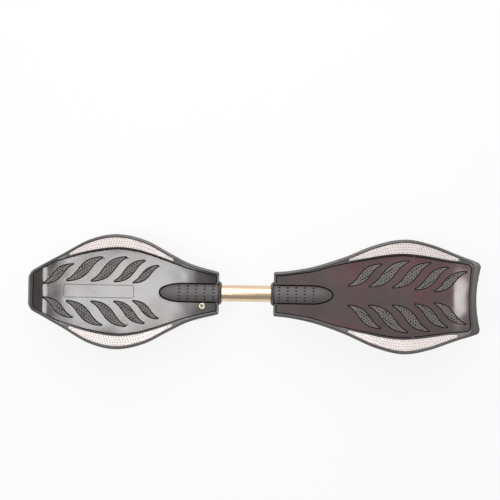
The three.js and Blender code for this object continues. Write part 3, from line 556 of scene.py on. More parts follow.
def pit_ring(centre, radius, count):
    angle = np.arange(count) * 2 * math.pi / count
    return centre + radius * np.column_stack([np.cos(angle), np.sin(angle)])


# ------------------------------------------------------------------ meshes
def triangulate(lines, open_lines, points):
    """A flat net of triangles through lines and loose points; the first closed line bounds it."""
    verts, edges = [], []
    for line, closed in [(line, True) for line in lines] + [(line, False) for line in open_lines]:
        start, count = len(verts), len(line)
        verts += [Vector((float(p[0]), float(p[1]))) for p in line]
        edges += [(start + i, start + (i + 1) % count)
                  for i in range(count if closed else count - 1)]
    verts += [Vector((float(p[0]), float(p[1]))) for p in points]
    flat, _, faces, _, _, _ = delaunay_2d_cdt(verts, edges, [], 1, 1e-5, False)
    flat = np.array([(p.x, p.y) for p in flat])
    faces = np.array([face for face in faces if len(face) == 3], int)
    middle = flat[faces].mean(axis=1)
    kept = np.concatenate([within(middle[i:i + 4000], lines[0])
                           for i in range(0, len(middle), 4000)])
    return flat, faces[kept]


def loose_points(low, high, step, lines, clear, wanted=None):
    """A staggered grid of points that keeps clear of the lines."""
    tree = KDTree(sum(len(line) for line in lines))
    index = 0
    for line in lines:
        for p in line:
            tree.insert((float(p[0]), float(p[1]), 0.0), index)
            index += 1
    tree.balance()
    grid = []
    for i, u in enumerate(np.arange(low[0], high[0], step)):
        for v in np.arange(low[1] + (i % 2) * step / 2, high[1], step):
            if tree.find((u, v, 0.0))[2] > clear:
                grid.append((u, v))
    grid = np.array(grid)
    return grid if wanted is None else grid[wanted(grid[:, 0], grid[:, 1])]


class Part:
    """A bare mesh: points in millimetres, faces, and a finish number for each face."""

    def __init__(self, points, faces, finish=0):
        self.points = np.asarray(points, float).reshape(-1, 3)
        self.faces = [tuple(int(i) for i in face) for face in faces]
        self.finish = list(finish) if hasattr(finish, "__len__") else [finish] * len(self.faces)

    def moved(self, matrix):
        turn = np.array(matrix.to_3x3())
        return Part(self.points @ turn.T + np.array(matrix.translation), self.faces, self.finish)

    def __add__(self, other):
        start = len(self.points)
        faces = self.faces + [tuple(i + start for i in face) for face in other.faces]
        return Part(np.vstack([self.points, other.points]), faces, self.finish + other.finish)


def ring_faces(rings, count, around=True, last_to_first=False):
    """Faces between rings of points that follow each other, or between open rows of points."""
    faces = []
    for ring in range(rings if last_to_first else rings - 1):
        one, two = ring * count, (ring + 1) % rings * count
        faces += [(one + k, one + (k + 1) % count, two + (k + 1) % count, two + k)
                  for k in range(count if around else count - 1)]
    return faces


def end_faces(rings, count):
    """The faces that close the first and the last ring."""
    return [tuple(range(count)), tuple(range((rings - 1) * count, rings * count))]


def turned(profile, axis, segments=64, finish=0):
    """A solid turned about an axis from a closed profile of radius and place along."""
    points, faces, rings = [], [], []
    angles = [2 * math.pi * (k + 0.5) / segments for k in range(segments)]
    for radius, along in profile:
        if radius < 1e-9:
            rings.append([len(points)])
            points.append((0.0, 0.0, along))
            continue
        rings.append(list(range(len(points), len(points) + segments)))
        points += [(radius * math.cos(a), radius * math.sin(a), along) for a in angles]
    for one, two in zip(rings, rings[1:] + rings[:1]):
        if len(one) == 1 and len(two) == 1:
            continue
        for k in range(segments):
            n = (k + 1) % segments
            if len(one) == 1:
                faces.append((one[0], two[k], two[n]))
            elif len(two) == 1:
                faces.append((one[k], two[0], one[n]))
            else:
                faces.append((one[k], two[k], two[n], one[n]))
    points = np.array(points)
    if axis == "x":
        points = points[:, [2, 0, 1]]
    if axis == "y":
        points = points[:, [1, 2, 0]]
    return Part(points, faces, finish)


def eased(profile, radius, steps=3):
    """A closed profile with its corners rounded; a corner on the axis stays."""
    points = [np.array(p, float) for p in profile]
    result = []
    for i, here in enumerate(points):
        before, after = points[i - 1], points[(i + 1) % len(points)]
        to_before, to_after = before - here, after - here
        one, two = np.linalg.norm(to_before), np.linalg.norm(to_after)
        on_axis = here[0] < 1e-9
        if on_axis or one < 1e-9 or two < 1e-9:
            result.append(tuple(here))
            continue
        to_before, to_after = to_before / one, to_after / two
        cosine = float(np.clip(to_before @ to_after, -1, 1))
        half = math.acos(cosine) / 2
        if half > math.radians(86):
            result.append(tuple(here))
            continue
        cut = min(radius / math.tan(half), one * 0.45, two * 0.45)
        for k in range(steps + 1):
            t = k / steps
            start, end = here + to_before * cut, here + to_after * cut
            result.append(tuple((1 - t) ** 2 * start + 2 * (1 - t) * t * here + t * t * end))
    return result


def prism(outline, low, high, finish=0, bevel=0.0):
    """A flat outline in x and y raised from low to high, with softened upper and lower edges."""
    outline, outward = outward_of(outline)
    rows = [(low, bevel), (low + bevel, 0.0), (high - bevel, 0.0), (high, bevel)]
    if bevel == 0.0:
        rows = [(low, 0.0), (high, 0.0)]
    points = [(x, y, height) for height, inset in rows for x, y in outline - outward * inset]
    lower, upper = end_faces(len(rows), len(outline))
    return Part(points, ring_faces(len(rows), len(outline)) + [lower[::-1], upper], finish)


def rounded_rectangle(half_long, half_wide, radius, steps=5):
    line = []
    for cx, cy, start in ((1, 1, 0), (-1, 1, 90), (-1, -1, 180), (1, -1, 270)):
        for k in range(steps + 1):
            angle = math.radians(start + 90 * k / steps)
            line.append((cx * (half_long - radius) + radius * math.cos(angle),
                         cy * (half_wide - radius) + radius * math.sin(angle)))
    return np.array(line)


def box_part(low, high, finish=0):
    outline = [(low[0], low[1]), (high[0], low[1]), (high[0], high[1]), (low[0], high[1])]
    return prism(outline, low[2], high[2], finish)


def mesh_of(part, name):
    mesh = bpy.data.meshes.new(name)
    mesh.from_pydata([tuple(p) for p in part.points * 0.001], [], part.faces)
    mesh.polygons.foreach_set("material_index", np.array(part.finish, np.int32))
    build = bmesh.new()
    build.from_mesh(mesh)
    bmesh.ops.remove_doubles(build, verts=build.verts, dist=2e-6)
    bmesh.ops.dissolve_degenerate(build, edges=build.edges, dist=1e-7)
    bmesh.ops.recalc_face_normals(build, faces=build.faces)
    build.to_mesh(mesh)
    build.free()
    return mesh


def make_object(part, name, materials):
    mesh = mesh_of(part, name)
    for material in materials:
        mesh.materials.append(material)
    piece = bpy.data.objects.new(name, mesh)
    bpy.context.scene.collection.objects.link(piece)
    return piece


def shaped(piece, joins, cuts):
    """Joins other parts to a piece and cuts others from it, as one closed body."""
    helpers = []
    for kind, parts in (("UNION", joins), ("DIFFERENCE", cuts)):
        for part in parts:
            helper = make_object(part, piece.name + "_helper", list(piece.data.materials))
            helper.hide_render = True
            modifier = piece.modifiers.new(kind.lower(), "BOOLEAN")
            modifier.operation, modifier.solver, modifier.object = kind, "MANIFOLD", helper
            helpers.append(helper)
    bpy.context.view_layer.update()
    graph = bpy.context.evaluated_depsgraph_get()
    result = bpy.data.meshes.new_from_object(piece.evaluated_get(graph))
    piece.modifiers.clear()
    old, piece.data = piece.data, result
    result.name = piece.name
    bpy.data.meshes.remove(old)
    for helper in helpers:
        mesh = helper.data
        bpy.data.objects.remove(helper)
        bpy.data.meshes.remove(mesh)
    if not result.polygons:
        raise RuntimeError(f"{piece.name} came out empty")
    return piece


def smooth_shading(piece, sharp):
    """Smooth shading that stays sharp at edges over an angle."""
    mesh = piece.data
    mesh.polygons.foreach_set("use_smooth", np.ones(len(mesh.polygons), bool))
    mesh.set_sharp_from_angle(angle=math.radians(sharp))
    mesh.update()


def settle(piece, body, nodes, sharp):
    """Shades a finished piece and hangs it on its body in place of its nodes."""
    smooth_shading(piece, sharp)
    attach(piece, body)
    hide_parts(*nodes)
    return piece


def add_piece(part, name, materials, body, node, joins=(), cuts=(), sharp=32.0):
    """Makes one finished piece and sets it on its body in place of its node."""
    piece = make_object(part, name, materials)
    if joins or cuts:
        shaped(piece, joins, cuts)
    return settle(piece, body, [node], sharp)


def placed(parts, matrix):
    return [part.moved(matrix) for part in parts]


# ------------------------------------------------------------------ footplates
class Footplate:
    """The fine surface of one footplate, with every line that its triangles follow."""

    def __init__(self, name, sizes):
        self.plate = plate = FOOTPLATES[name]
        self.name, self.sizes = name, sizes
        length = plate["length"]
        self.edge = Area(lambda u: half_width(plate, u), 0.0, length, 6.0, 3.0)
        self.rim = Area(lambda u: half_width(plate, u) - RIM_WIDTH, plate["end_rim"], length + 20.0,
                        plate["rim_corner"], 1.0)
        self.ground = Area(lambda u: floor_half(plate, u),
                           plate["end_rim"] + GROOVE_HALF_WIDTH + 0.3,
                           length - INNER_GROOVE_INSET, plate["floor_corner"], 2.0)
        self.hollow = Area(lambda u: half_width(plate, u) - SKIRT_WALL, SKIRT_WALL,
                           length - SKIRT_WALL, 4.0, 2.0)
        self.leaves = [Outline(leaf_points(plate, shares, sign), sizes.leaf_tip * 1000, 6)
                       for shares in plate["leaves"] for sign in (-1, 1)]
        self.grips = {sign: Outline(grip_points(plate, sign), sizes.grip_tip * 1000, 4)
                      for sign in (-1, 1)}
        self.pits = self.leaf_pits()
        self.dimples = self.dome_dimples()
        self.panel = self.panel_area() if name == "front" else None

    def panel_area(self):
        """The plain outlined panel on the front floor."""
        line = rounded_rectangle(PANEL_HALF_LENGTH, PANEL_HALF_WIDTH, PANEL_CORNER, 6)
        return Outline(filled_in(np.array(PANEL_MIDDLE) + line, 3.0), 3.0)

    def leaf_pits(self):
        pitch = self.sizes.leaf_pit_pitch * 1000
        pits = []
        for leaf in self.leaves:
            low, high = leaf.core.min(0), leaf.core.max(0)
            along = leaf.core[np.argmax(leaf.core[:, 0])] - leaf.core[np.argmin(leaf.core[:, 0])]
            along /= np.linalg.norm(along)
            across = np.array([-along[1], along[0]])
            middle = (low + high) / 2
            for i in range(-9, 10):
                for j in range(-4, 5):
                    step = (i + (j % 2) / 2) * pitch * along + j * pitch * 0.84 * across
                    pits.append(middle + step)
        pits = np.array(pits)
        kept = np.zeros(len(pits), bool)
        for leaf in self.leaves:
            near = self.near(leaf, pits[:, 0], pits[:, 1], 2.0)
            kept[near] |= leaf.inside(pits[near]) > 0.95 + self.sizes.leaf_pit_radius * 1000
        return pits[kept]

    def dome_dimples(self):
        dimples = []
        for column in range(5):
            u = self.plate["length"] - DIMPLE_INSET - column * DIMPLE_PITCH
            for row in range(-2, 3):
                angle = math.radians(DIMPLE_TURN * row)
                dimples.append((u, DOME_RADIUS * math.sin(angle)))
        return np.array(dimples)

    @staticmethod
    def near(outline, u, v, reach):
        low = outline.core.min(0) - reach - outline.radius
        high = outline.core.max(0) + reach + outline.radius
        return (u > low[0]) & (u < high[0]) & (v > low[1]) & (v < high[1])

    def deepest(self, outlines, u, v, reach=1.5):
        """How far inside the nearest of several outlines each point lies."""
        depth = np.full(len(u), -99.0)
        for outline in outlines:
            near = self.near(outline, u, v, reach)
            if near.any():
                places = np.column_stack([u[near], v[near]])
                depth[near] = np.maximum(depth[near], outline.inside(places))
        return depth

    @staticmethod
    def spot_distance(spots, u, v):
        gap = np.full(len(u), 99.0)
        for block in range(0, len(u), 8000):
            part = slice(block, block + 8000)
            du = u[part, None] - spots[None, :, 0]
            dv = v[part, None] - spots[None, :, 1]
            gap[part] = np.hypot(du, dv).min(1)
        return gap

    def dimple_place(self, u, v):
        """How far each point is from the nearest dimple and how far to its left, in its radii."""
        radius = self.sizes.dome_dimple_radius * 1000
        distance = self.spot_distance(self.dimples, u, v) / radius
        gap = v[:, None] - self.dimples[None, :, 1]
        aside = np.take_along_axis(gap, np.abs(gap).argmin(1)[:, None], 1)[:, 0] / radius
        return distance, aside

    def round_drop(self, u, v):
        across = half_width(self.plate, u) - np.abs(v)
        reach = np.minimum(corner(across, u, 6.0), 3.0 * (self.plate["length"] - u))
        short = np.clip(RIM_ROUND - np.where(reach < 0.002, 0.0, reach), 0.0, RIM_ROUND)
        return RIM_ROUND - np.sqrt(RIM_ROUND ** 2 - short ** 2)

    def top(self, u, v):
        """Height of the upper surface."""
        plate = self.plate
        lift = RIM_RAISE * smooth_step(-self.rim.inside(u, v) / RIM_STEP)
        crown = RIM_CROWN * np.maximum(-self.rim.inside(u, v) - RIM_STEP, 0.0)
        surface = plain_height(plate, u, v) + lift - crown - self.round_drop(u, v)
        groove = np.abs(self.ground.inside(u, v)) / GROOVE_HALF_WIDTH
        depth = self.sizes.groove_depth * 1000
        round_line = 0.5 + 0.5 * np.cos(math.pi * np.minimum(groove, 1))
        surface -= depth * np.where(groove < 1, round_line, 0)
        leaf = self.deepest(self.leaves, u, v)
        surface -= np.interp(leaf, LEAF_LEVELS, LEAF_DEPTHS)
        pit = self.spot_distance(self.pits, u, v) / (self.sizes.leaf_pit_radius * 1000)
        surface -= np.interp(pit, PIT_SHARES, PIT_DEPTHS)
        if self.panel:
            line = np.abs(self.deepest([self.panel], u, v))
            surface -= np.interp(line, PANEL_LINE, PANEL_LINE_DEPTHS)
        if self.name == "front":
            plug = np.hypot(u - (BOARD_HALF_LENGTH + PLUG_PLACE[0]), v - PLUG_PLACE[1])
            pocket = PLUG_HEIGHT - PLUG_PROUD + SCREW_GAP
            edge = PLUG_RADIUS + SCREW_GAP
            surface -= np.interp(plug, [edge, edge + PLUG_RING_GAPS[1]], [pocket, 0])
        recess = self.deepest(self.grips.values(), u, v)
        surface -= np.interp(recess, [-GRIP_GAP - GRIP_WALL, -GRIP_GAP], [0, GRIP_DEPTH + GRIP_GAP])
        reach = dome_reach(plate, u, v)
        outline = np.interp(reach, DOME_OFFSETS, DOME_DEPTHS)
        dome = dome_height(plate, u, v) - self.round_drop(u, v)
        dimple, aside = self.dimple_place(u, v)
        depth = np.interp(dimple, DIMPLE_SHARES[::-1], DIMPLE_DEPTHS[::-1])
        dome -= depth * (0.5 + 0.5 * np.clip(aside, -1, 1))
        return np.where(reach <= 0, dome, surface) - outline

    def top_finish(self, u, v):
        """Finish number of the upper surface."""
        finish = np.full(len(u), SHELL)
        ground = self.ground.inside(u, v)
        # Grooves, outlines, pits, the gap round the grips and one half of each dimple take the
        # near-black painted shade.
        finish[ground > FLOOR_LINE_FROM] = GROOVE_SHADE
        finish[ground > FLOOR_FROM] = FLOOR
        leaf = self.deepest(self.leaves, u, v)
        finish[leaf > LEAF_LINE_FROM] = GROOVE_SHADE
        finish[leaf > LEAF_FROM] = LEAF
        pit = self.spot_distance(self.pits, u, v)
        finish[pit < 0.95 * self.sizes.leaf_pit_radius * 1000] = GROOVE_SHADE
        finish[self.deepest(self.grips.values(), u, v) > -GRIP_GAP - 0.2] = GROOVE_SHADE
        reach = dome_reach(self.plate, u, v)
        finish[reach < DOME_LINE_FROM] = GROOVE_SHADE
        finish[reach < DOME_FROM] = DOME
        dimple, aside = self.dimple_place(u, v)
        # One half of each dimple is painted as shade, as if its wall shadowed it.
        finish[(reach < DOME_FROM) & (dimple < 0.99) & (aside > 0.0)] = GROOVE_SHADE
        return finish

    def open_rim(self, level):
        half = self.rim.half_loop(level)
        half = half[half[:, 0] < self.plate["length"] - 0.45]
        return np.vstack([half[::-1] * np.array([1.0, -1.0]), half[1:]])

    def lines(self):
        """The closed and open lines of the upper surface, with the points of its small hollows."""
        plate = self.plate
        closed = [self.edge.loop(level) for level in EDGE_LEVELS]
        closed += [self.ground.loop(level) for level in FLOOR_LEVELS]
        closed += [leaf.loop(level) for leaf in self.leaves for level in LEAF_LEVELS]
        closed += [grip.loop(level) for grip in self.grips.values()
                   for level in (-GRIP_GAP - GRIP_WALL, -GRIP_GAP)]
        if self.panel:
            closed += [self.panel.loop(level) for level in PANEL_LEVELS]
        if self.name == "front":
            centre = np.array([BOARD_HALF_LENGTH + PLUG_PLACE[0], PLUG_PLACE[1]])
            closed += [pit_ring(centre, PLUG_RADIUS + SCREW_GAP + gap, 40)
                       for gap in PLUG_RING_GAPS]
        radius = self.sizes.leaf_pit_radius * 1000
        for pit in self.pits:
            closed += [pit_ring(pit, radius, 8), pit_ring(pit, radius * PIT_SHARES[1], 6)]
        radius = self.sizes.dome_dimple_radius * 1000
        closed += [pit_ring(dimple, radius * share, 14)
                   for dimple in self.dimples for share in DIMPLE_SHARES]
        across = [-share for share in DIMPLE_SHARES] + list(DIMPLE_SHARES[::-1])
        opened = [self.open_rim(level) for level in RIM_LEVELS]
        opened += [np.array([(u + radius * share, v) for share in across]) for u, v in self.dimples]
        opened += [dome_line(plate, 1.0, offset) for offset in DOME_OFFSETS]
        opened += [dome_line(plate, share, 0.0) for share in DOME_SHARES]
        return closed, opened

    def raised(self, flat, heights):
        """Points of inset, side and height as x, y and z."""
        return np.column_stack([place_x(self.plate, flat[:, 0], flat[:, 1]), flat[:, 1], heights])

    def shell(self):
        """The whole shell as one closed part: upper surface, walls and underside."""
        plate = self.plate
        closed, opened = self.lines()
        low, high = (2.0, -BOARD_HALF_WIDTH), (plate["length"] - 1.0, BOARD_HALF_WIDTH)
        loose = loose_points(low, high, UPPER_STEP, closed + opened, 1.5,
                             lambda u, v: self.edge.inside(u, v) > 1.5)
        flat, faces = triangulate(closed, opened, loose)
        middle = flat[faces].mean(axis=1)
        finish = self.top_finish(*middle.T).tolist()
        upper = Part(self.raised(flat, self.top(*flat.T)), faces, finish)
        below = [self.edge.loop(EDGE_WALL), self.hollow.loop(0.0), self.hollow.loop(0.5)]
        loose = loose_points(low, high, LOWER_STEP, below, 2.0,
                             lambda u, v: self.hollow.inside(u, v) > 1.5)
        flat, faces = triangulate(below, [], loose)
        share = np.clip(self.hollow.inside(*flat.T) / 0.5, 0, 1)
        skirt = skirt_height(plate, flat[:, 0])
        height = skirt + share * (even_height(plate, *flat.T) - FLOOR_THICKNESS - skirt)
        lower = Part(self.raised(flat, height), faces, SHELL)
        outer, inner = self.edge.loop(0.0), self.edge.loop(EDGE_WALL)
        top, foot = self.top(*outer.T), skirt_height(plate, outer[:, 0])
        rows = [(outer, top), (outer, top + 0.35 * (foot - top)), (outer, foot + 3.0),
                (outer, foot + 0.8), (outer * 0.7 + inner * 0.3, foot + 0.24),
                (inner, skirt_height(plate, inner[:, 0]))]
        points = np.vstack([self.raised(line, height) for line, height in rows])
        return upper + lower + Part(points, ring_faces(len(rows), len(outer)), SHELL)

    def ribs(self):
        """Ribs across and along the hollow, a little thinner at their free edge."""
        plate, parts = self.plate, []
        for inset in RIB_INSETS:
            half = float(half_width(plate, inset)) - SKIRT_WALL / 2
            v = np.linspace(-half, half, 25)
            x = plate["way"] * (BOARD_HALF_LENGTH - inset)
            low = np.full(25, float(skirt_height(plate, inset)) + RIB_LIFT)
            high = plain_height(plate, np.full(25, inset), v) - FLOOR_THICKNESS / 2
            parts.append(self.bar(np.full(25, x), v, low, high, (1.0, 0.0)))
        for sign in (-1, 1):
            u = np.linspace(0, plate["length"], 400)
            u = u[half_width(plate, u) - SKIRT_WALL / 2 > RIB_SIDE_OFFSET + 1.0]
            u = np.linspace(u[0], u[-1], 60)
            v = np.full(60, sign * RIB_SIDE_OFFSET)
            high = plain_height(plate, u, v) - FLOOR_THICKNESS / 2
            low = skirt_height(plate, u) + RIB_LIFT
            parts.append(self.bar(place_x(plate, u, v), v, low, high, (0.0, 1.0)))
        return parts

    @staticmethod
    def bar(x, y, low, high, across):
        """A thin upright bar along a run of places."""
        thin, thick = RIB_THICKNESS * 0.4, RIB_THICKNESS / 2
        aside = np.array(across)
        places = np.column_stack([x, y])
        rows = [np.column_stack([places + aside * side, height])
                for side, height in ((-thin, low), (thin, low), (thick, high), (-thick, high))]
        count = len(x)
        faces = ring_faces(4, count, around=False, last_to_first=True)
        faces += [tuple(r * count for r in range(4)),
                  tuple(r * count + count - 1 for r in range(4))]
        return Part(np.vstack(rows), faces, SHELL)

    def barrel(self):
        """The half-round tube seat under the floor."""
        start = math.asin(BARREL_LEVEL / BARREL_RADIUS)
        angles = np.linspace(start, -math.pi - start, 57)
        face, way = self.plate["face"], self.plate["way"]
        rows = [(0.15, 0.6), (0.75, 0.0), (BARREL_LENGTH - 3.0, 0.0), (BARREL_LENGTH - 1.0, 0.9),
                (BARREL_LENGTH, 3.0)]
        points = []
        for along, inset in rows:
            radius = BARREL_RADIUS - inset
            points += [(face + way * along, radius * math.cos(a),
                        AXIS_HEIGHT + min(radius * math.sin(a), BARREL_LEVEL)) for a in angles]
        faces = ring_faces(len(rows), len(angles)) + end_faces(len(rows), len(angles))
        return Part(points, faces, SHELL)

    def wedge(self):
        """The sloping block that the caster plate is screwed to."""
        matrix = caster_matrix(self.name)
        outline = rounded_rectangle(PLATE_HALF_LENGTH + WEDGE_MARGIN,
                                    PLATE_HALF_WIDTH + WEDGE_MARGIN, 5.0)
        low = PLATE_THICKNESS + RACE_GAP
        rings = []
        for inset, lift in ((0.8, 0.0), (0.0, 0.8)):
            shrunk = outline * (1 - inset / np.abs(outline).max())
            rings.append([matrix @ Vector((x, y, low + lift)) for x, y in shrunk])
        up = matrix.to_3x3() @ Vector((0, 0, 1))
        high = FLOOR_HEIGHT - FLOOR_THICKNESS / 2
        rings.append([p + up * ((high - p.z) / up.z) for p in rings[-1]])
        points = [tuple(p) for ring in rings for p in ring]
        return Part(points, ring_faces(3, len(outline)) + end_faces(3, len(outline)), SHELL)

    def wedge_cuts(self):
        """The kingpin's pocket and the plate's screw holes."""
        matrix = caster_matrix(self.name)
        pocket = PLATE_THICKNESS + KINGPIN["head"] + PIN_POCKET_GAP
        hole = rod(SCREW_HOLE, 0.0, PLATE_BOLT_REACH + SCREW_GAP, "z", 24)
        return ([rod(PIN_POCKET_RADIUS, 0.0, pocket, "z", 40).moved(matrix)]
                + [hole.moved(matrix @ shift(x, y)) for x, y in PLATE_BOLTS])


def rod(radius, low, high, axis, segments=64, finish=SHELL, ease=0.0):
    profile = [(0, low), (radius, low), (radius, high), (0, high)]
    return turned(eased(profile, ease) if ease else profile, axis, segments, finish)


def tube_part(inner, outer, low, high, axis, segments=64, finish=0, ease=0.3):
    profile = [(inner, low), (outer, low), (outer, high), (inner, high)]
    return turned(eased(profile, ease), axis, segments, finish)


def caster_matrix(name):
    """From a caster's own frame, leaning back on its kingpin, to the board's."""
    return shift(CASTER_PLACES[name], 0.0, PLATE_HEIGHT) @ Matrix.Rotation(-LEAN, 4, "Y")


def shift(x=0.0, y=0.0, z=0.0):
    return Matrix.Translation((x, y, z))


def footplate_piece(name, sizes, materials):
    """One footplate with its ribs, barrel, wedge and bores."""
    form = Footplate(name, sizes)
    joins, cuts = form.ribs() + [form.barrel(), form.wedge()], form.wedge_cuts()
    if name == "front":
        bores = [rod(TUBE_RADIUS + BORE_GAP, TUBE_ENDS[0] - BORE_GAP, -60.0, "x")]
        pad = prism(rounded_rectangle(PAD_HALF_LENGTH, PAD_HALF_WIDTH, 2.0),
                    AXIS_HEIGHT - PAD_DROP, FLOOR_HEIGHT - 1.2, SHELL, 0.6)
        hole = rod(SCREW_HOLE, -PAD_HALF_WIDTH - 1.0, PAD_HALF_WIDTH + 1.0, "y", 24)
        joins += [pad.moved(shift(x)) for x in CLAMP_PLACES]
        cuts += [hole.moved(shift(x, 0, AXIS_HEIGHT - CLAMP_DROP)) for x in CLAMP_PLACES]
    else:
        bores = [rod(BUSH_BORE, 30.0, TUBE_ENDS[1] + BORE_GAP, "x")]
        cuts.append(rod(ANCHOR_BORE, 60.0, ANCHOR_END + BORE_GAP, "x").moved(TUBE_AXIS))
        hole = rod(SCREW_HOLE, BARREL_BOTTOM - 4.0, AXIS_HEIGHT, "z", 24)
        cuts += [hole.moved(shift(x)) for x in (STOP_PLACE, ANCHOR_BOLT_PLACE)]
    return add_piece(form.shell(), f"{name}_footplate", materials, f"{name}_board", f"{name}_deck",
                     joins, placed(bores, TUBE_AXIS) + cuts)


def grip_piece(name, sign, sizes, material):
    """One pale side grip with its rows of small pits."""
    form = Footplate(name, sizes)
    plate, outline = form.plate, form.grips[sign]
    pitch, radius = sizes.grip_dot_pitch * 1000, sizes.grip_dot_radius * 1000
    start, end = outline.core[:, 0].min(), outline.core[:, 0].max()
    dots = []
    for i, u in enumerate(np.arange(start, end, pitch)):
        inner = float(floor_half(plate, u) + bank_run(plate, u)) + GROOVE_HALF_WIDTH + GRIP_MARGIN
        outer = float(half_width(plate, u)) - RIM_WIDTH - GRIP_MARGIN
        rows = max(1, round((outer - inner) / 4.9))
        for j in range(rows):
            share = (j + 0.5) / rows
            slant = (share - 0.5) * pitch * 1.2
            dots.append((u + slant, sign * (inner + (outer - inner) * share)))
    dots = np.array(dots)
    dots = dots[outline.inside(dots) > radius + 0.9]
    closed = [outline.loop(level) for level in GRIP_LEVELS]
    for dot in dots:
        closed += [pit_ring(dot, radius, 8), pit_ring(dot, radius * GRIP_PIT_SHARES[1], 5)]
    low, high = outline.core.min(0) - 2, outline.core.max(0) + 2
    loose = loose_points(low, high, GRIP_STEP, closed, 1.2,
                         lambda u, v: outline.inside(np.column_stack([u, v])) > 1.2)
    flat, faces = triangulate(closed, [], loose)

    def crown(points):
        inside = outline.inside(points)
        reach = np.where(inside < 0.002, 0.0, inside)
        short = np.clip(GRIP_EDGE_ROUND - reach, 0.0, GRIP_EDGE_ROUND)
        drop = GRIP_EDGE_ROUND - np.sqrt(GRIP_EDGE_ROUND ** 2 - short ** 2)
        dot = form.spot_distance(dots, *points.T) / radius
        pit = np.interp(dot, GRIP_PIT_SHARES, GRIP_PIT_DEPTHS)
        return plain_height(plate, *points.T) + GRIP_PROUD - drop - pit

    def foot(points):
        return plain_height(plate, *points.T) - GRIP_DEPTH + 0.05

    middle = flat[faces].mean(axis=1)
    # Faces near each pit's middle take a darkened grip colour: painted shade in the pits.
    dark = form.spot_distance(dots, *middle.T) < 0.8 * radius
    upper = Part(form.raised(flat, crown(flat)), faces, dark.astype(int).tolist())
    rim = outline.loop(0.0)
    flat, faces = triangulate([rim], [], np.zeros((0, 2)))
    lower = Part(form.raised(flat, foot(flat)), faces)
    edges = np.vstack([form.raised(rim, crown(rim)), form.raised(rim, foot(rim))])
    wall = Part(edges, ring_faces(2, len(rim)))
    side = SIDE_NAMES[sign]
    return add_piece(upper + lower + wall, f"{name}_grip_{side}", material, f"{name}_board",
                     f"{name}_side_grip_{side}")


# ------------------------------------------------------------------ screws, tube and casters
def hex_radius(angle, across):
    turn = (angle + math.pi / 6) % (math.pi / 3) - math.pi / 6
    return across / 2 / math.cos(turn)


def hex_part(across, low, high, bore=0.0, both=False, count=48):
    """A hexagon head or nut along z, with turned-off corners and a dished top face."""
    angles = [2 * math.pi * k / count + math.pi / count for k in range(count)]
    hexes = np.array([hex_radius(a, across) for a in angles])
    circle = across / 2 * 0.97
    cut = np.maximum(hexes - circle, 0) * 0.55
    inner = bore if bore else across * 0.3
    rows = [(circle, low), (hexes, low + cut)] if both else [(hexes, low)]
    rows += [(hexes, high - cut), (circle, high), (inner + 0.5, high), (inner, high - 0.35)]
    if bore:
        rows += [(inner, low + 0.35), (inner + 0.5, low)]
    points = [(r * math.cos(a), r * math.sin(a), z)
              for radius, height in rows for r, z, a in np.broadcast(radius, height, angles)]
    faces = ring_faces(len(rows), count, last_to_first=bool(bore))
    return Part(points, faces if bore else faces + end_faces(len(rows), count))


def threaded(radius, low, high, thread_from, pitch):
    """A shank along z that carries thread grooves from one place to its high end."""
    profile = [(0, low), (radius, low), (radius, thread_from)]
    at = thread_from
    while at + pitch < high - 0.6:
        profile += [(radius * 0.88, at + pitch * 0.5), (radius, at + pitch)]
        at += pitch
    profile += [(radius, high - 0.5), (radius - 0.5, high), (0, high)]
    return turned(profile, "z", 32)


def along_axis(part, axis):
    """Turns a part made along z so that it runs along y, where that is wanted."""
    return part.moved(Matrix.Rotation(math.radians(-90), 4, "X")) if axis == "y" else part


def add_bolt(name, node, body, size, length, axis, matrix, material, pitch, thread_share):
    """A hexagon bolt: the head beyond zero, the shank running to minus its length."""
    head = hex_part(size["across"], 0.0, size["head"])
    shank = threaded(size["shank"] - 0.02, -1.0, length, length * (1 - thread_share), pitch)
    shank = Part(shank.points * np.array([1, 1, -1]), shank.faces)
    head, shank = placed([along_axis(head, axis), along_axis(shank, axis)], matrix)
    return add_piece(head, name, [material], body, node, [shank])


def add_nut(name, node, body, size, axis, matrix, material, insert=False):
    """A nut from zero to its height, with a plain collar that stands for a locking ring."""
    bore = size["shank"] + 0.12
    high = size["nut"] * (0.72 if insert else 1.0)
    parts = [hex_part(size["across"], 0.0, high, bore, both=True)]
    if insert:
        edge = size["across"] * 0.44
        profile = [(bore, high - 0.6), (edge, high - 0.6), (edge, size["nut"] - 0.8),
                   (size["across"] * 0.38, size["nut"]), (bore, size["nut"])]
        parts.append(turned(eased(profile, 0.25), "z", 48))
    parts = placed([along_axis(part, axis) for part in parts], matrix)
    return add_piece(parts[0], name, [material], body, node, parts[1:])


def tube_piece(material):
    """The bare torsion tube with its cross holes and the slot for the stop bolt."""
    tube = tube_part(TUBE_RADIUS - TUBE_WALL, TUBE_RADIUS, *TUBE_ENDS, "x", 128, 0, 0.4)
    hole = rod(SCREW_HOLE, -TUBE_RADIUS * 1.5, TUBE_RADIUS * 1.5, "y", 24, 0)
    cuts = [hole.moved(shift(x, 0, AXIS_HEIGHT - CLAMP_DROP)) for x in CLAMP_PLACES]
    turn = math.radians(STOP_SLOT_TURN)
    fan = [(0.0, 0.0)]
    fan += [(STOP_SLOT_REACH * math.sin(a), -STOP_SLOT_REACH * math.cos(a))
            for a in np.linspace(-turn, turn, 21)]
    slot = prism(fan, -SCREW_HOLE, SCREW_HOLE)
    slot = Part(slot.points[:, [2, 0, 1]], slot.faces)
    cuts.append(slot.moved(shift(STOP_PLACE, 0, AXIS_HEIGHT)))
    return add_piece(tube.moved(TUBE_AXIS), "gold_tube", [material], "front_board", "torsion_tube",
                     (), cuts)


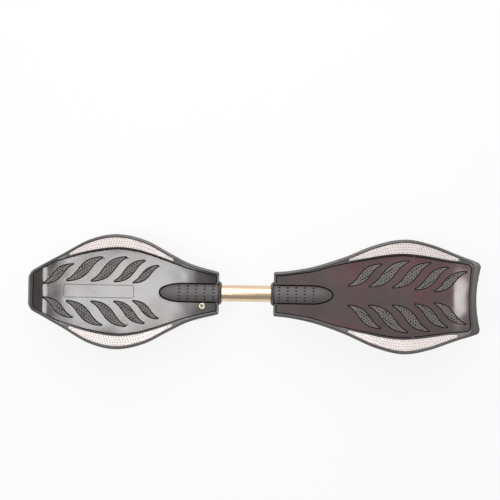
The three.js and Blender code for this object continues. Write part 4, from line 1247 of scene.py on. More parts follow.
def collar_piece(name, material):
    """The tapered collar that closes the gap between a footplate and the tube."""
    plate = FOOTPLATES[name]
    way, face = -plate["way"], plate["face"]
    bore = TUBE_RADIUS + BORE_GAP
    profile = [(bore, 0.3), (COLLAR_BASE, 0.3), (COLLAR_BASE, COLLAR_SEAT),
               (COLLAR_BASE - 0.9, COLLAR_SEAT + 0.6), (COLLAR_TIP, COLLAR_LENGTH),
               (bore, COLLAR_LENGTH)]
    profile = [(radius, face + way * along) for radius, along in eased(profile, 0.5)]
    return add_piece(turned(profile, "x", 96).moved(TUBE_AXIS), f"{name}_collar_ring", [material],
                     f"{name}_board", f"{name}_collar")


def torsion_bar_piece(material):
    """The square bar in the tube: the rear anchor turns one end, the plug holds the other."""
    low, high = (corner * 1000 for corner in map(Vector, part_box("torsion_bar")))
    half = (high.y - low.y) / 2
    ring = rounded_rectangle(half, half, BAR_EDGE, 2)
    points = [(x, y, AXIS_HEIGHT + z)
              for x in np.linspace(low.x, high.x, BAR_SECTIONS) for y, z in ring]
    faces = ring_faces(BAR_SECTIONS, len(ring)) + end_faces(BAR_SECTIONS, len(ring))
    piece = make_object(Part(points, faces), "spring_bar", [material])
    smooth_shading(piece, 50.0)
    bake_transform(piece)
    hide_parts("torsion_bar")
    return piece


def plug_piece(materials):
    """The round brass-coloured plug, dished, with a raised ring."""
    top = FLOOR_HEIGHT + PLUG_PROUD
    low = top - PLUG_HEIGHT
    profile = [(0, low), (PLUG_RADIUS, low), (PLUG_RADIUS, top - 0.3), (PLUG_RADIUS - 0.5, top),
               (PLUG_RADIUS - 1.5, top), (PLUG_RADIUS - 1.9, top - 0.45), (2.0, top - 0.5),
               (1.6, top - 0.15), (0, top - 0.1)]
    part = turned(eased(profile, 0.15), "z", 48)
    reach = [np.hypot(*part.points[list(face), :2].mean(0)) for face in part.faces]
    # The dish between the boss and the raised ring takes a darker, duller brass: painted shade in
    # the hollow, on a rougher finish.
    part.finish = [int(PLUG_RIM > far > PLUG_BOSS) for far in reach]
    return add_piece(part.moved(shift(*PLUG_PLACE)), "front_plug_disc", materials, "front_board",
                     "front_round_plug")


def caster_plate_piece(name, material):
    """The sheet steel plate under a footplate, with its screw holes and soft edges."""
    outline = rounded_rectangle(PLATE_HALF_LENGTH, PLATE_HALF_WIDTH, PLATE_CORNER, 8)
    slab, matrix = prism(outline, 0.0, PLATE_THICKNESS, 0, 0.4), caster_matrix(name)
    cuts = [rod(PIN_HOLE, -1.0, PLATE_THICKNESS + 1.0, "z", 32, 0).moved(matrix)]
    hole = rod(SCREW_HOLE, -1.0, PLATE_THICKNESS + 1.0, "z", 32, 0)
    cuts += [hole.moved(matrix @ shift(x, y)) for x, y in PLATE_BOLTS]
    return add_piece(slab.moved(matrix), f"{name}_mount_plate", [material], f"{name}_board",
                     f"{name}_caster_plate", (), cuts)


def bowed(start, end, bend):
    """Points after a start and up to an end, on a line that bows aside."""
    start, end, bend = np.array(start), np.array(end), np.array(bend)
    return [tuple(start + (end - start) * t + bend * math.sin(math.pi * t))
            for t in np.linspace(0, 1, 12)[1:]]


def fork_outline():
    """One leg of a fork, in the caster's x and z, with its hollowed edges and round foot."""
    back, front = (LEG_BACK, CROWN_LOW - 1.5), (LEG_FRONT, CROWN_LOW - 1.5)
    foot = [(AXLE_TRAIL + LEG_BOSS_RADIUS * math.cos(angle),
             -AXLE_DEPTH + LEG_BOSS_RADIUS * math.sin(angle))
            for angle in np.linspace(math.pi, 2 * math.pi, 25)[1:]]
    line = [(LEG_BACK, FORK_TOP), back]
    line += bowed(back, (AXLE_TRAIL - LEG_BOSS_RADIUS, -AXLE_DEPTH), (1.98, 2.34)) + foot
    line += bowed((AXLE_TRAIL + LEG_BOSS_RADIUS, -AXLE_DEPTH), front, (-2.4, 0.6))
    return line + [(LEG_FRONT, FORK_TOP)]


def fork_piece(name, material):
    """A pressed steel fork: a round crown and two legs, each with a spacing boss and axle hole."""
    matrix, axle = caster_matrix(name), shift(AXLE_TRAIL, 0, -AXLE_DEPTH)
    profile = [(0, CROWN_LOW), (CROWN_RADIUS - 1.6, CROWN_LOW), (CROWN_RADIUS, CROWN_LOW + 1.2),
               (CROWN_RADIUS, FORK_TOP - 0.7), (CROWN_RADIUS - 0.7, FORK_TOP), (0, FORK_TOP)]
    crown = turned(profile, "z", 96)
    leg = prism(fork_outline(), -LEG_THICKNESS / 2, LEG_THICKNESS / 2, 0, 0.45)
    leg = Part(leg.points[:, [0, 2, 1]], leg.faces)
    joins = []
    for sign in (-1, 1):
        middle = sign * (LEG_INNER + LEG_THICKNESS / 2)
        ends = sorted((sign * SPACING_BOSS_INNER, middle))
        joins.append(leg.moved(shift(0, middle, 0)))
        joins.append(rod(SPACING_BOSS, *ends, "y", 48, 0, 0.4).moved(axle))
    reach = 2 * (LEG_INNER + LEG_THICKNESS)
    cuts = [rod(AXLE_HOLE, -reach, reach, "y", 32, 0).moved(axle),
            rod(PIN_HOLE + 0.2, CROWN_LOW - 3.0, 0.0, "z", 32, 0)]
    return add_piece(crown.moved(matrix), f"{name}_swivel_fork", [material], f"{name}_swivel",
                     f"{name}_fork", placed(joins, matrix), placed(cuts, matrix))


def body_of_node(node):
    """The body that the frame hangs a node on."""
    bodies = frame["record"]["behaviour"]["bodies"]
    return next(body for body, nodes in bodies.items() if node in nodes)


def swivel_pieces(name, bright, dark):
    """The swivel bearing with its seal lip, the lower race, the kingpin and its nut."""
    matrix = caster_matrix(name)
    inner, outer, _ = UPPER_RACE
    low = FORK_TOP + RACE_GAP
    upper = [(inner, low), (outer - 1.5, low), (outer - 1.5, low + 1.6), (outer, low + 1.9),
             (outer, -1.2), (outer - 0.9, -RACE_GAP), (inner, -RACE_GAP)]
    top = CROWN_LOW - RACE_GAP
    low = top - LOWER_RACE_HEIGHT
    lower = [(PIN_HOLE, low), (LOWER_RACE_OUTER - 3.0, low), (LOWER_RACE_OUTER, low + 1.4),
             (LOWER_RACE_OUTER, top), (PIN_HOLE, top)]
    for profile, segments, label, node, material, slot in (
            (upper, 96, "swivel_ring", "swivel_bearing", dark, "steel_dark"),
            (lower, 64, "lower_ring", "lower_race", bright, "steel_bright")):
        ring = turned(eased(profile, 0.3), "z", segments).moved(matrix)
        body = body_of_node(f"{name}_{node}")
        add_piece(ring, f"{name}_{label}", [material], body, f"{name}_{node}")
    nut_top = low - RACE_GAP
    length = PLATE_THICKNESS - nut_top + KINGPIN["nut"] + NUT_STICK_OUT
    add_bolt(f"{name}_king_bolt", f"{name}_kingpin", f"{name}_board", KINGPIN, length,
             "z", matrix @ shift(0, 0, PLATE_THICKNESS), dark, 1.5, 0.4)
    add_nut(f"{name}_king_nut", f"{name}_kingpin_nut", f"{name}_board", KINGPIN,
            "z", matrix @ shift(0, 0, nut_top) @ UPSIDE_DOWN, bright, True)


def mirrored(half, middle=()):
    """A closed profile: the mirror image of a half, what lies between, and the half itself."""
    return [(radius, -along) for radius, along in half] + list(middle) + half[::-1]


def wheel_pieces(name, bright, nylon, tyre, seal):
    """Tyre, core with its spokes, bearings with their shields, axle bolt and nut."""
    matrix = caster_matrix(name) @ shift(AXLE_TRAIL, 0, -AXLE_DEPTH)
    inner = CORE_RADIUS + BOND_GAP
    side = [(inner, CORE_HALF_WIDTH), (inner + 1.2, CORE_HALF_WIDTH + 0.4), (33.2, 11.9),
            (34.4, 11.4)]
    tread = [(WHEEL_RADIUS - TREAD_ROUND + TREAD_ROUND * math.cos(angle * TREAD_FALL),
              TREAD_HALF_WIDTH * math.sin(angle) / math.sin(TREAD_TURN))
             for angle in np.linspace(-TREAD_TURN, TREAD_TURN, 25)]
    part = turned(mirrored(side, tread), "y", 128).moved(matrix)
    add_piece(part, f"{name}_wheel_tyre", [tyre], f"{name}_wheel", f"{name}_tyre",
              sharp=40)

    seat = BEARING_OUTER + 0.15
    side = [(seat, HUB_HALF_WIDTH), (HUB_RADIUS, HUB_HALF_WIDTH), (HUB_RADIUS, CORE_WEB_HALF_WIDTH),
            (CORE_RIM_INNER, CORE_WEB_HALF_WIDTH), (CORE_RIM_INNER, CORE_HALF_WIDTH),
            (CORE_RADIUS, CORE_HALF_WIDTH)]
    core = turned(eased(mirrored(side), 0.6), "y", 96).moved(matrix)
    spokes = []
    for k in range(SPOKES):
        for sign in (-1, 1):
            low, high = sorted((sign * 4.0, sign * (CORE_HALF_WIDTH - 1.6)))
            bar = box_part((HUB_RADIUS - 1.0, low, -SPOKE_HALF_THICKNESS),
                           (CORE_RIM_INNER + 1.0, high, SPOKE_HALF_THICKNESS))
            spokes.append(bar.moved(matrix @ Matrix.Rotation(2 * math.pi * k / SPOKES, 4, "Y")))
    add_piece(core, f"{name}_wheel_hub", [nylon], f"{name}_wheel", f"{name}_wheel_core",
              spokes)

    for sign, side in SIDE_NAMES.items():
        near, far = sorted((sign * BEARING_HALF_GAP, sign * (BEARING_HALF_GAP + BEARING_WIDTH)))
        ring = tube_part(AXLE_HOLE, BEARING_RACE_OUTER, near, far, "y", 64, 0, 0.4).moved(matrix)
        add_piece(ring, f"{name}_inner_ring_{side}", [bright], f"{name}_swivel",
                  f"{name}_bearing_inner_{side}")
        profile = [(SHIELD_EDGE + 0.1, near), (BEARING_OUTER, near), (BEARING_OUTER, far),
                   (SHIELD_EDGE + 0.1, far), (SHIELD_EDGE - 0.1, far - 0.5),
                   (BEARING_SHOULDER, far - 0.7), (BEARING_SHOULDER, near + 0.7),
                   (SHIELD_EDGE - 0.1, near + 0.5)]
        ring = turned(profile, "y", 64)
        reach = np.hypot(ring.points[:, 0], ring.points[:, 2])
        ring.finish = [int(reach[list(face)].max() < SHIELD_EDGE) for face in ring.faces]
        add_piece(ring.moved(matrix), f"{name}_outer_ring_{side}", [bright, seal], f"{name}_wheel",
                  f"{name}_bearing_outer_{side}", sharp=25)
    outer_leg = LEG_INNER + LEG_THICKNESS
    length = 2 * outer_leg + AXLE["nut"] + NUT_STICK_OUT
    add_bolt(f"{name}_axle_screw", f"{name}_axle_bolt", f"{name}_swivel", AXLE,
             length, "y", matrix @ shift(0, outer_leg, 0), bright, 1.25, 0.25)
    add_nut(f"{name}_axle_lock_nut", f"{name}_axle_nut", f"{name}_swivel", AXLE,
            "y", matrix @ shift(0, -outer_leg, 0) @ UPSIDE_DOWN, bright, True)


# ------------------------------------------------------------------ shading node groups
def add_node(tree, kind, inputs=None, **settings):
    """A node with its settings made and its inputs linked or filled in."""
    node = tree.nodes.new(kind)
    for key, value in settings.items():
        setattr(node, key, value)
    for key, value in (inputs or {}).items():
        socket = node.inputs[key]
        if isinstance(value, bpy.types.NodeSocket):
            tree.links.new(value, socket)
        else:
            socket.default_value = value
    return node


def new_group(name, inputs, outputs):
    """An empty node group with named inputs (name, kind, default) and outputs (name, kind)."""
    tree = bpy.data.node_groups.new(name, "ShaderNodeTree")
    for label, kind, default in inputs:
        socket = tree.interface.new_socket(name=label, in_out="INPUT",
                                           socket_type="NodeSocket" + kind)
        socket.default_value = default
    for label, kind in outputs:
        tree.interface.new_socket(name=label, in_out="OUTPUT", socket_type="NodeSocket" + kind)
    return tree, tree.nodes.new("NodeGroupInput").outputs, tree.nodes.new("NodeGroupOutput").inputs


def math_node(tree, operation, one, two=0.0, clamp=False):
    node = add_node(tree, "ShaderNodeMath", {0: one, 1: two}, operation=operation, use_clamp=clamp)
    return node.outputs[0]


def times(tree, one, two, clamp=False):
    return math_node(tree, "MULTIPLY", one, two, clamp)


def plus(tree, one, two, clamp=False):
    return math_node(tree, "ADD", one, two, clamp)


def remap(tree, value, low, high, new_low=0.0, new_high=1.0):
    node = add_node(tree, "ShaderNodeMapRange", {"Value": value, "From Min": low, "From Max": high,
                                                 "To Min": new_low, "To Max": new_high})
    return node.outputs["Result"]


def blend(tree, share, one, two):
    node = add_node(tree, "ShaderNodeMix", {"Factor": share, 6: one, 7: two}, data_type="RGBA")
    return node.outputs[2]


def varied(tree, colour, value, saturation=1.0):
    """A colour made lighter or darker, and more or less strong."""
    node = add_node(tree, "ShaderNodeHueSaturation", {"Color": colour, "Value": value,
                                                      "Saturation": saturation})
    return node.outputs[0]


def place_of(tree):
    """The place on the object that a pattern is drawn at."""
    return add_node(tree, "ShaderNodeTexCoord").outputs["Object"]


def noise_at(tree, place, scale, detail, roughness=0.5):
    return add_node(tree, "ShaderNodeTexNoise", {"Vector": place, "Scale": scale, "Detail": detail,
                                                 "Roughness": roughness})


def use_group(tree, group, inputs):
    return add_node(tree, "ShaderNodeGroup", inputs, node_tree=group).outputs


def scuff_group():
    """Thin crossing scratches that come and go over the surface."""
    tree, source, result = new_group("Scuffs", [("Scale", "Float", 40.0), ("Amount", "Float", 0.3)],
                                     [("Mask", "Float")])
    place = place_of(tree)
    warp = noise_at(tree, place, 9.0, 1.0)
    moved = add_node(tree, "ShaderNodeVectorMath",
                     {0: warp.outputs["Color"], 1: (0.03, 0.03, 0.03)}, operation="MULTIPLY")
    bent = add_node(tree, "ShaderNodeVectorMath", {0: place, 1: moved.outputs[0]},
                    operation="ADD").outputs[0]
    lines = None
    for turn, stretch in ((0.5, (1.0, 11.0, 1.0)), (-0.7, (10.0, 1.0, 1.0))):
        drawn = add_node(tree, "ShaderNodeMapping", {"Vector": bent, "Rotation": (0.0, 0.0, turn),
                                                     "Scale": stretch})
        cells = add_node(tree, "ShaderNodeTexVoronoi",
                         {"Vector": drawn.outputs[0], "Scale": source["Scale"]},
                         feature="DISTANCE_TO_EDGE")
        line = remap(tree, cells.outputs["Distance"], 0.0, 0.012, 1.0, 0.0)
        lines = line if lines is None else math_node(tree, "MAXIMUM", lines, line)
    where = remap(tree, warp.outputs["Fac"], 0.5, 0.7)
    mask = times(tree, times(tree, lines, where), source["Amount"], True)
    tree.links.new(mask, result["Mask"])
    return tree


def dust_group():
    """A light settling of dust on upward faces, in soft uneven patches."""
    tree, source, result = new_group("Dust", [("Scale", "Float", 12.0), ("Amount", "Float", 0.1)],
                                     [("Mask", "Float")])
    place = place_of(tree)
    soft = noise_at(tree, place, source["Scale"], 6.0, 0.65)
    specks = noise_at(tree, place, 900.0, 1.0)
    speck = remap(tree, specks.outputs["Fac"], 0.62, 0.72)
    patch = remap(tree, soft.outputs["Fac"], 0.4, 0.75)
    normal = add_node(tree, "ShaderNodeNewGeometry").outputs["Normal"]
    facing = add_node(tree, "ShaderNodeSeparateXYZ", {0: normal})
    upward = remap(tree, facing.outputs["Z"], 0.2, 1.0)
    both = plus(tree, times(tree, patch, 0.6), times(tree, speck, 0.4))
    mask = times(tree, times(tree, both, upward), source["Amount"], True)
    tree.links.new(mask, result["Mask"])
    return tree


def grain_group():
    """Fine pebbled grain with a slow drift under it."""
    tree, source, result = new_group("Fine grain", [("Scale", "Float", 1500.0)],
                                     [("Value", "Float"), ("Drift", "Float")])
    place = place_of(tree)
    cells = add_node(tree, "ShaderNodeTexVoronoi", {"Vector": place, "Scale": source["Scale"]},
                     feature="F1")
    noise = noise_at(tree, place, source["Scale"], 2.0)
    drift = noise_at(tree, place, 22.0, 4.0)
    mixed = plus(tree, times(tree, cells.outputs["Distance"], 0.6),
                 times(tree, noise.outputs["Fac"], 0.4))
    tree.links.new(mixed, result["Value"])
    tree.links.new(drift.outputs["Fac"], result["Drift"])
    return tree


def wear_group():
    """Rubbed places along sharp edges, broken up by noise."""
    tree, source, result = new_group("Edge wear", [("Amount", "Float", 0.3)], [("Mask", "Float")])
    place = place_of(tree)
    geometry = add_node(tree, "ShaderNodeNewGeometry")
    edge = remap(tree, geometry.outputs["Pointiness"], 0.51, 0.58)
    noise = noise_at(tree, place, 180.0, 5.0)
    broken = remap(tree, noise.outputs["Fac"], 0.42, 0.62)
    mask = times(tree, times(tree, edge, broken), source["Amount"], True)
    tree.links.new(mask, result["Mask"])
    return tree


def moulded_group(grain, scuffs, dust, wear):
    """Moulded plastic or rubber: grained, scuffed, rubbed at its edges and a little dusty."""
    tree, source, result = new_group("Moulded finish", [
        ("Colour", "Color", (0.1, 0.1, 0.1, 1)), ("Roughness", "Float", 0.4),
        ("Grain scale", "Float", 1500.0), ("Grain depth", "Float", 0.3),
        ("Scuff amount", "Float", 0.3), ("Dust amount", "Float", 0.1),
        ("Wear amount", "Float", 0.3), ("Waviness", "Float", 0.0),
        ("Tint", "Color", (0.1, 0.1, 0.1, 1)), ("Tint amount", "Float", 0.0)],
        [("Color", "Color"), ("Roughness", "Float"), ("Normal", "Vector")])
    fine = use_group(tree, grain, {"Scale": source["Grain scale"]})
    scratch = use_group(tree, scuffs, {"Scale": 30.0, "Amount": source["Scuff amount"]})
    settled = use_group(tree, dust, {"Amount": source["Dust amount"]})
    rubbed = use_group(tree, wear, {"Amount": source["Wear amount"]})
    place = place_of(tree)
    cloud = noise_at(tree, place, 11.0, 2.0)
    from_middle = add_node(tree, "ShaderNodeSeparateXYZ", {"Vector": place}).outputs["X"]
    beyond_neck = remap(tree, math_node(tree, "ABSOLUTE", from_middle), 0.10, 0.19)
    patches = times(tree, remap(tree, cloud.outputs["Fac"], 0.4, 0.6), beyond_neck)
    tinged = times(tree, patches, source["Tint amount"], True)
    base = blend(tree, tinged, source["Colour"], source["Tint"])
    lighter = varied(tree, base, 1.3, 0.8)
    darker = varied(tree, base, 0.9)
    colour = blend(tree, remap(tree, fine["Drift"], 0.3, 0.7), darker, base)
    colour = blend(tree, times(tree, rubbed["Mask"], 0.6, True), colour, lighter)
    colour = blend(tree, times(tree, scratch["Mask"], 0.5, True), colour, lighter)
    colour = blend(tree, settled["Mask"], colour, (0.42, 0.40, 0.37, 1.0))
    tree.links.new(colour, result["Color"])
    rough = plus(tree, source["Roughness"], remap(tree, fine["Drift"], 0.3, 0.7, -0.03, 0.05))
    rough = plus(tree, rough, times(tree, scratch["Mask"], 0.25))
    rough = plus(tree, rough, times(tree, settled["Mask"], 0.5), True)
    tree.links.new(rough, result["Roughness"])
    height = math_node(tree, "SUBTRACT", times(tree, fine["Value"], source["Grain depth"]),
                       times(tree, scratch["Mask"], 0.4))
    swell = noise_at(tree, place, 20.0, 1.0)
    wave = times(tree, swell.outputs["Fac"], source["Waviness"])
    bump = add_node(tree, "ShaderNodeBump", {"Height": plus(tree, height, wave), "Strength": 0.35,
                                             "Distance": 0.0003})
    tree.links.new(bump.outputs["Normal"], result["Normal"])
    return tree


def metal_group(scuffs, wear):
    """Drawn, plated or turned metal: streaks along one direction, scuffs and slight stains."""
    tree, source, result = new_group("Metal finish", [
        ("Colour", "Color", (0.6, 0.6, 0.6, 1)), ("Stain", "Color", (0.4, 0.36, 0.3, 1)),
        ("Roughness", "Float", 0.3), ("Streak scale", "Vector", (20.0, 900.0, 900.0)),
        ("Streak depth", "Float", 0.2), ("Scuff amount", "Float", 0.4),
        ("Stain amount", "Float", 0.3)],
        [("Color", "Color"), ("Roughness", "Float"), ("Normal", "Vector")])
    place = place_of(tree)
    drawn = add_node(tree, "ShaderNodeMapping", {"Vector": place, "Scale": source["Streak scale"]})
    streak = noise_at(tree, drawn.outputs[0], 1.0, 3.0, 0.6)
    cloud = noise_at(tree, place, 35.0, 6.0, 0.7)
    scratch = use_group(tree, scuffs, {"Scale": 45.0, "Amount": source["Scuff amount"]})
    rubbed = use_group(tree, wear, {"Amount": 0.6})
    stained = times(tree, remap(tree, cloud.outputs["Fac"], 0.45, 0.75), source["Stain amount"],
                    True)
    bright = varied(tree, source["Colour"], 1.15, 0.9)
    dim = varied(tree, source["Colour"], 0.86)
    colour = blend(tree, remap(tree, streak.outputs["Fac"], 0.3, 0.7), dim, source["Colour"])
    colour = blend(tree, stained, colour, source["Stain"])
    bare = math_node(tree, "MAXIMUM", rubbed["Mask"], scratch["Mask"])
    colour = blend(tree, bare, colour, bright)
    tree.links.new(colour, result["Color"])
    drift = remap(tree, streak.outputs["Fac"], 0.3, 0.7, -0.05, 0.07)
    rough = plus(tree, source["Roughness"], drift)
    rough = plus(tree, rough, times(tree, stained, 0.3))
    rough = plus(tree, rough, times(tree, scratch["Mask"], 0.15), True)
    tree.links.new(rough, result["Roughness"])
    height = math_node(tree, "SUBTRACT", times(tree, streak.outputs["Fac"], source["Streak depth"]),
                       times(tree, scratch["Mask"], 0.3))
    bump = add_node(tree, "ShaderNodeBump", {"Height": height, "Strength": 0.3, "Distance": 0.0002})
    tree.links.new(bump.outputs["Normal"], result["Normal"])
    return tree


def finish_groups():
    """The shared node groups, made once."""
    made = bpy.data.node_groups
    if "Metal finish" not in made:
        scuffs, wear = scuff_group(), wear_group()
        moulded_group(grain_group(), scuffs, dust_group(), wear)
        metal_group(scuffs, wear)
    return made["Moulded finish"], made["Metal finish"]


# ------------------------------------------------------------------ materials
def finished(name, group, inputs, settings):
    """A material whose shader takes its colour, roughness and normal from a finish group."""
    material = bpy.data.materials.get(name)
    if material:
        return material
    material = bpy.data.materials.new(name)
    material.use_nodes = True
    tree = material.node_tree
    shader = tree.nodes["Principled BSDF"]
    outputs = use_group(tree, group, inputs)
    tree.links.new(outputs["Color"], shader.inputs["Base Color"])
    tree.links.new(outputs["Roughness"], shader.inputs["Roughness"])
    tree.links.new(outputs["Normal"], shader.inputs["Normal"])
    for key, value in settings.items():
        shader.inputs[key].default_value = value
    return material


def moulded(name, colour, roughness, grain, depth, scuffs, dust, wear, waves=0.0, tint=None,
            **settings):
    inputs = {"Colour": (*colour, 1.0), "Roughness": roughness, "Grain scale": grain,
              "Grain depth": depth, "Scuff amount": scuffs, "Dust amount": dust,
              "Wear amount": wear, "Waviness": waves, "Tint": (*(tint or colour), 1.0),
              "Tint amount": 1.0 if tint else 0.0}
    return finished(name, finish_groups()[0], inputs, settings)


def metal(name, colour, stain, roughness, streaks, depth, scuffs, stains):
    inputs = {"Colour": (*colour, 1.0), "Stain": (*stain, 1.0), "Roughness": roughness,
              "Streak scale": streaks, "Streak depth": depth, "Scuff amount": scuffs,
              "Stain amount": stains}
    return finished(name, finish_groups()[1], inputs, {"Metallic": 1.0})


def plate_materials(name, look):
    """The five finishes of a footplate, in the order of their numbers."""
    colour, tint = (tuple(getattr(look, f"{name}_floor_{kind}")) for kind in ("colour", "tint"))
    return [
        moulded(f"Gloss black floor {name}", colour, look.floor_roughness, 900.0, 0.03, 0.35, 0.12,
                0.2, 4.5, tint),
        moulded("Satin black shell", look.shell_colour, look.shell_roughness, 1600.0, 0.35, 0.3,
                0.12, 0.4, **{"Specular IOR Level": 0.85}),
        moulded("Matte leaf inlay", look.leaf_colour, 0.72, 2200.0, 0.8, 0.2, 0.1, 0.2),
        # Near-black with a weak reflection: painted shade for grooves, pits and the shadowed half
        # of the dimples.
        moulded("Dark groove", look.groove_shade_colour, 0.85, 1500.0, 0.4, 0.0, 0.0, 0.0,
                **{"Specular IOR Level": 0.12}),
        moulded("Dimpled dome", look.dome_colour, 0.5, 1800.0, 0.6, 0.3, 0.12, 0.3),
    ]


def grip_materials(look):
    # The pits' colour is the grip colour darkened: painted shade.
    dark = tuple(0.22 * c for c in look.grip_colour)
    return [moulded("Pale side grip", look.grip_colour, 0.55, 1700.0, 0.5, 0.4, 0.12, 0.1),
            moulded("Grip pit shade", dark, 0.7, 1700.0, 0.5, 0.0, 0.0, 0.0)]


def tube_material(look):
    return metal("Gold anodised tube", look.tube_colour, (0.50, 0.36, 0.20), 0.24,
                 (12.0, 1100.0, 1100.0), 0.25, 0.5, 0.2)


def collar_material(look):
    return moulded("Dark collar plastic", look.collar_colour, 0.38, 1500.0, 0.4, 0.3, 0.1, 0.4)


def brass_materials(look):
    # A darkened copy of the plug's brass, painted shade for the dish, with a rougher, more stained
    # finish.
    dish_shade_colour = tuple(0.35 * c for c in look.plug_colour)
    streaks = (500.0, 500.0, 60.0)
    return [metal("Pale brass plug", look.plug_colour, (0.45, 0.36, 0.2), 0.28, streaks, 0.2, 0.4,
                  0.3),
            metal("Dull brass dish", dish_shade_colour, (0.20, 0.17, 0.1), 0.45, streaks, 0.4, 0.3, 0.5)]


def steel_material():
    return metal("Zinc plated steel", (0.62, 0.61, 0.60), (0.38, 0.35, 0.30), 0.34,
                 (60.0, 500.0, 60.0), 0.25, 0.5, 0.35)


def dark_steel_material():
    return metal("Blackened steel", (0.20, 0.195, 0.19), (0.16, 0.11, 0.08), 0.38,
                 (300.0, 80.0, 300.0), 0.3, 0.6, 0.3)


def spring_steel_material():
    return metal("Spring steel bar", (0.34, 0.34, 0.35), (0.30, 0.18, 0.10), 0.4,
                 (15.0, 900.0, 900.0), 0.3, 0.4, 0.45)


def nylon_material():
    return moulded("White nylon", (0.74, 0.73, 0.70), 0.42, 1300.0, 0.25, 0.3, 0.12, 0.1,
                   **{"Subsurface Weight": 0.15, "Subsurface Radius": (0.003, 0.003, 0.002),
                      "Subsurface Scale": 0.5})


def tyre_material(look):
    return moulded("Pale cast tyre", look.tyre_colour, 0.36, 800.0, 0.5, 0.8, 0.25, 0.1,
                   **{"Subsurface Weight": 0.2, "Subsurface Radius": (0.004, 0.003, 0.002),
                      "Subsurface Scale": 0.5})


def seal_material():
    return moulded("Black rubber seal", (0.03, 0.03, 0.03), 0.55, 1800.0, 0.3, 0.2, 0.1, 0.1)


# ------------------------------------------------------------------ settings
def colour_property(name, description, default):
    return bpy.props.FloatVectorProperty(name=name, description=description, default=default,
                                         size=3, subtype="COLOR", min=0.0, max=1.0)


def length_property(name, description, default, low, **more):
    return bpy.props.FloatProperty(name=name, description=description, default=default, min=low,
                                   unit="LENGTH", **more)


def share_property(name, description, default):
    return bpy.props.FloatProperty(name=name, description=description, default=default, min=0.0,
                                   max=1.0, subtype="FACTOR")


def power_property(name, description, default):
    return bpy.props.FloatProperty(name=name, description=description, default=default, min=0.0,
                                   unit="POWER")


class CasterBoardSizes(bpy.types.PropertyGroup):
    """Fine sizes that the frame leaves open."""
    leaf_tip: length_property("Leaf tip radius", "Rounding of an inlay's two tips", 0.0009, 0.00086)
    leaf_pit_pitch: length_property("Leaf pit pitch", "Distance between the inlay's pits", 0.0056,
                                    0.002)
    leaf_pit_radius: length_property("Leaf pit radius", "Radius of the inlay's pits", 0.0013,
                                     0.0003)
    groove_depth: length_property("Groove depth", "Depth of the lines round the floor", 0.0012,
                                  0.0002, max=0.003)
    dome_dimple_radius: length_property("Dome dimple radius",
                                        "Radius of the half-moon dimples on the domes",
                                        0.0023, 0.0005)
    grip_tip: length_property("Grip tip radius", "Rounding of a side grip's tips", 0.0019, 0.0007)
    grip_dot_pitch: length_property("Grip pit pitch", "Distance between rows of grip pits", 0.0050,
                                    0.002)
    grip_dot_radius: length_property("Grip pit radius", "Radius of the side grips' pits", 0.00095,
                                     0.0002)


class CasterBoardLook(bpy.types.PropertyGroup):
    """Colours and gloss of the visible finishes."""
    front_floor_colour: colour_property("Front floor", "Gloss floor of the front footplate",
                                        (0.036, 0.029, 0.029))
    front_floor_tint: colour_property("Front floor tint", "Slow patches in the front floor",
                                      (0.052, 0.029, 0.027))
    rear_floor_colour: colour_property("Rear floor", "Gloss floor of the rear footplate",
                                       (0.096, 0.074, 0.075))
    rear_floor_tint: colour_property("Rear floor tint", "Slow patches in the rear floor",
                                     (0.116, 0.058, 0.060))
    floor_roughness: share_property("Floor roughness", "Gloss of the footplates' floor", 0.10)
    shell_colour: colour_property("Shell colour", "Rims, skirts and ribs of the footplates",
                                  (0.089, 0.082, 0.081))
    shell_roughness: share_property("Shell roughness", "Gloss of rims and skirts", 0.34)
    leaf_colour: colour_property("Leaf colour", "Leaf-shaped inlays", (0.165, 0.148, 0.144))
    # Near-black painted shade in grooves, pits and dimples.
    groove_shade_colour: colour_property("Groove painted shade", "Outline grooves and pits",
                                   (0.006, 0.005, 0.005))
    dome_colour: colour_property("Dome colour", "Dimpled domes at the tube", (0.108, 0.094, 0.095))
    grip_colour: colour_property("Grip colour", "Side grips", (0.92, 0.84, 0.81))
    tube_colour: colour_property("Tube colour", "Anodised torsion tube", (0.86, 0.66, 0.46))
    collar_colour: colour_property("Collar colour", "Collars at the tube", (0.040, 0.036, 0.034))
    plug_colour: colour_property("Plug colour", "Round plug in the front footplate",
                                 (0.71, 0.64, 0.49))
    tyre_colour: colour_property("Tyre colour", "Cast tyres", (0.66, 0.62, 0.52))


class CasterBoardStage(bpy.types.PropertyGroup):
    """Floor, lamps, background and camera."""
    floor_size: length_property("Floor size", "Side of the square floor", 8.0, 1.0)
    floor_shade: share_property("Floor shade", "Paleness of the floor", 0.86)
    lamp_power: power_property("Lamp power", "Power of the softbox overhead", 6.3)
    side_power: power_property("Side lamp power", "Power of the long softbox at the side", 23.0)
    near_strength: share_property("Near light", "Even light from the near side", 0.36)
    far_strength: share_property("Far light", "Even light from the far side", 0.45)
    camera_lens: bpy.props.FloatProperty(name="Camera lens", default=56.0, min=1.0,
                                         description="Focal length in millimetres")
    camera_height: length_property("Camera height", "Height of the camera over the floor", 1.6, 0.5)


# ------------------------------------------------------------------ operators
class FootplateOperator(bpy.types.Operator):
    """Builds both footplates with their inlays, grooves, domes, ribs and barrels"""
    bl_idname = "caster_board.footplates"
    bl_label = "Footplates"

    def execute(self, context):
        for name in FOOTPLATES:
            materials = plate_materials(name, context.scene.caster_board_look)
            footplate_piece(name, context.scene.caster_board_sizes, materials)
        return {"FINISHED"}


class GripOperator(bpy.types.Operator):
    """Builds the four pale side grips with their rows of pits"""
    bl_idname = "caster_board.side_grips"
    bl_label = "Side grips"

    def execute(self, context):
        materials = grip_materials(context.scene.caster_board_look)
        for name in FOOTPLATES:
            for sign in SIDE_NAMES:
                grip_piece(name, sign, context.scene.caster_board_sizes, materials)
        return {"FINISHED"}


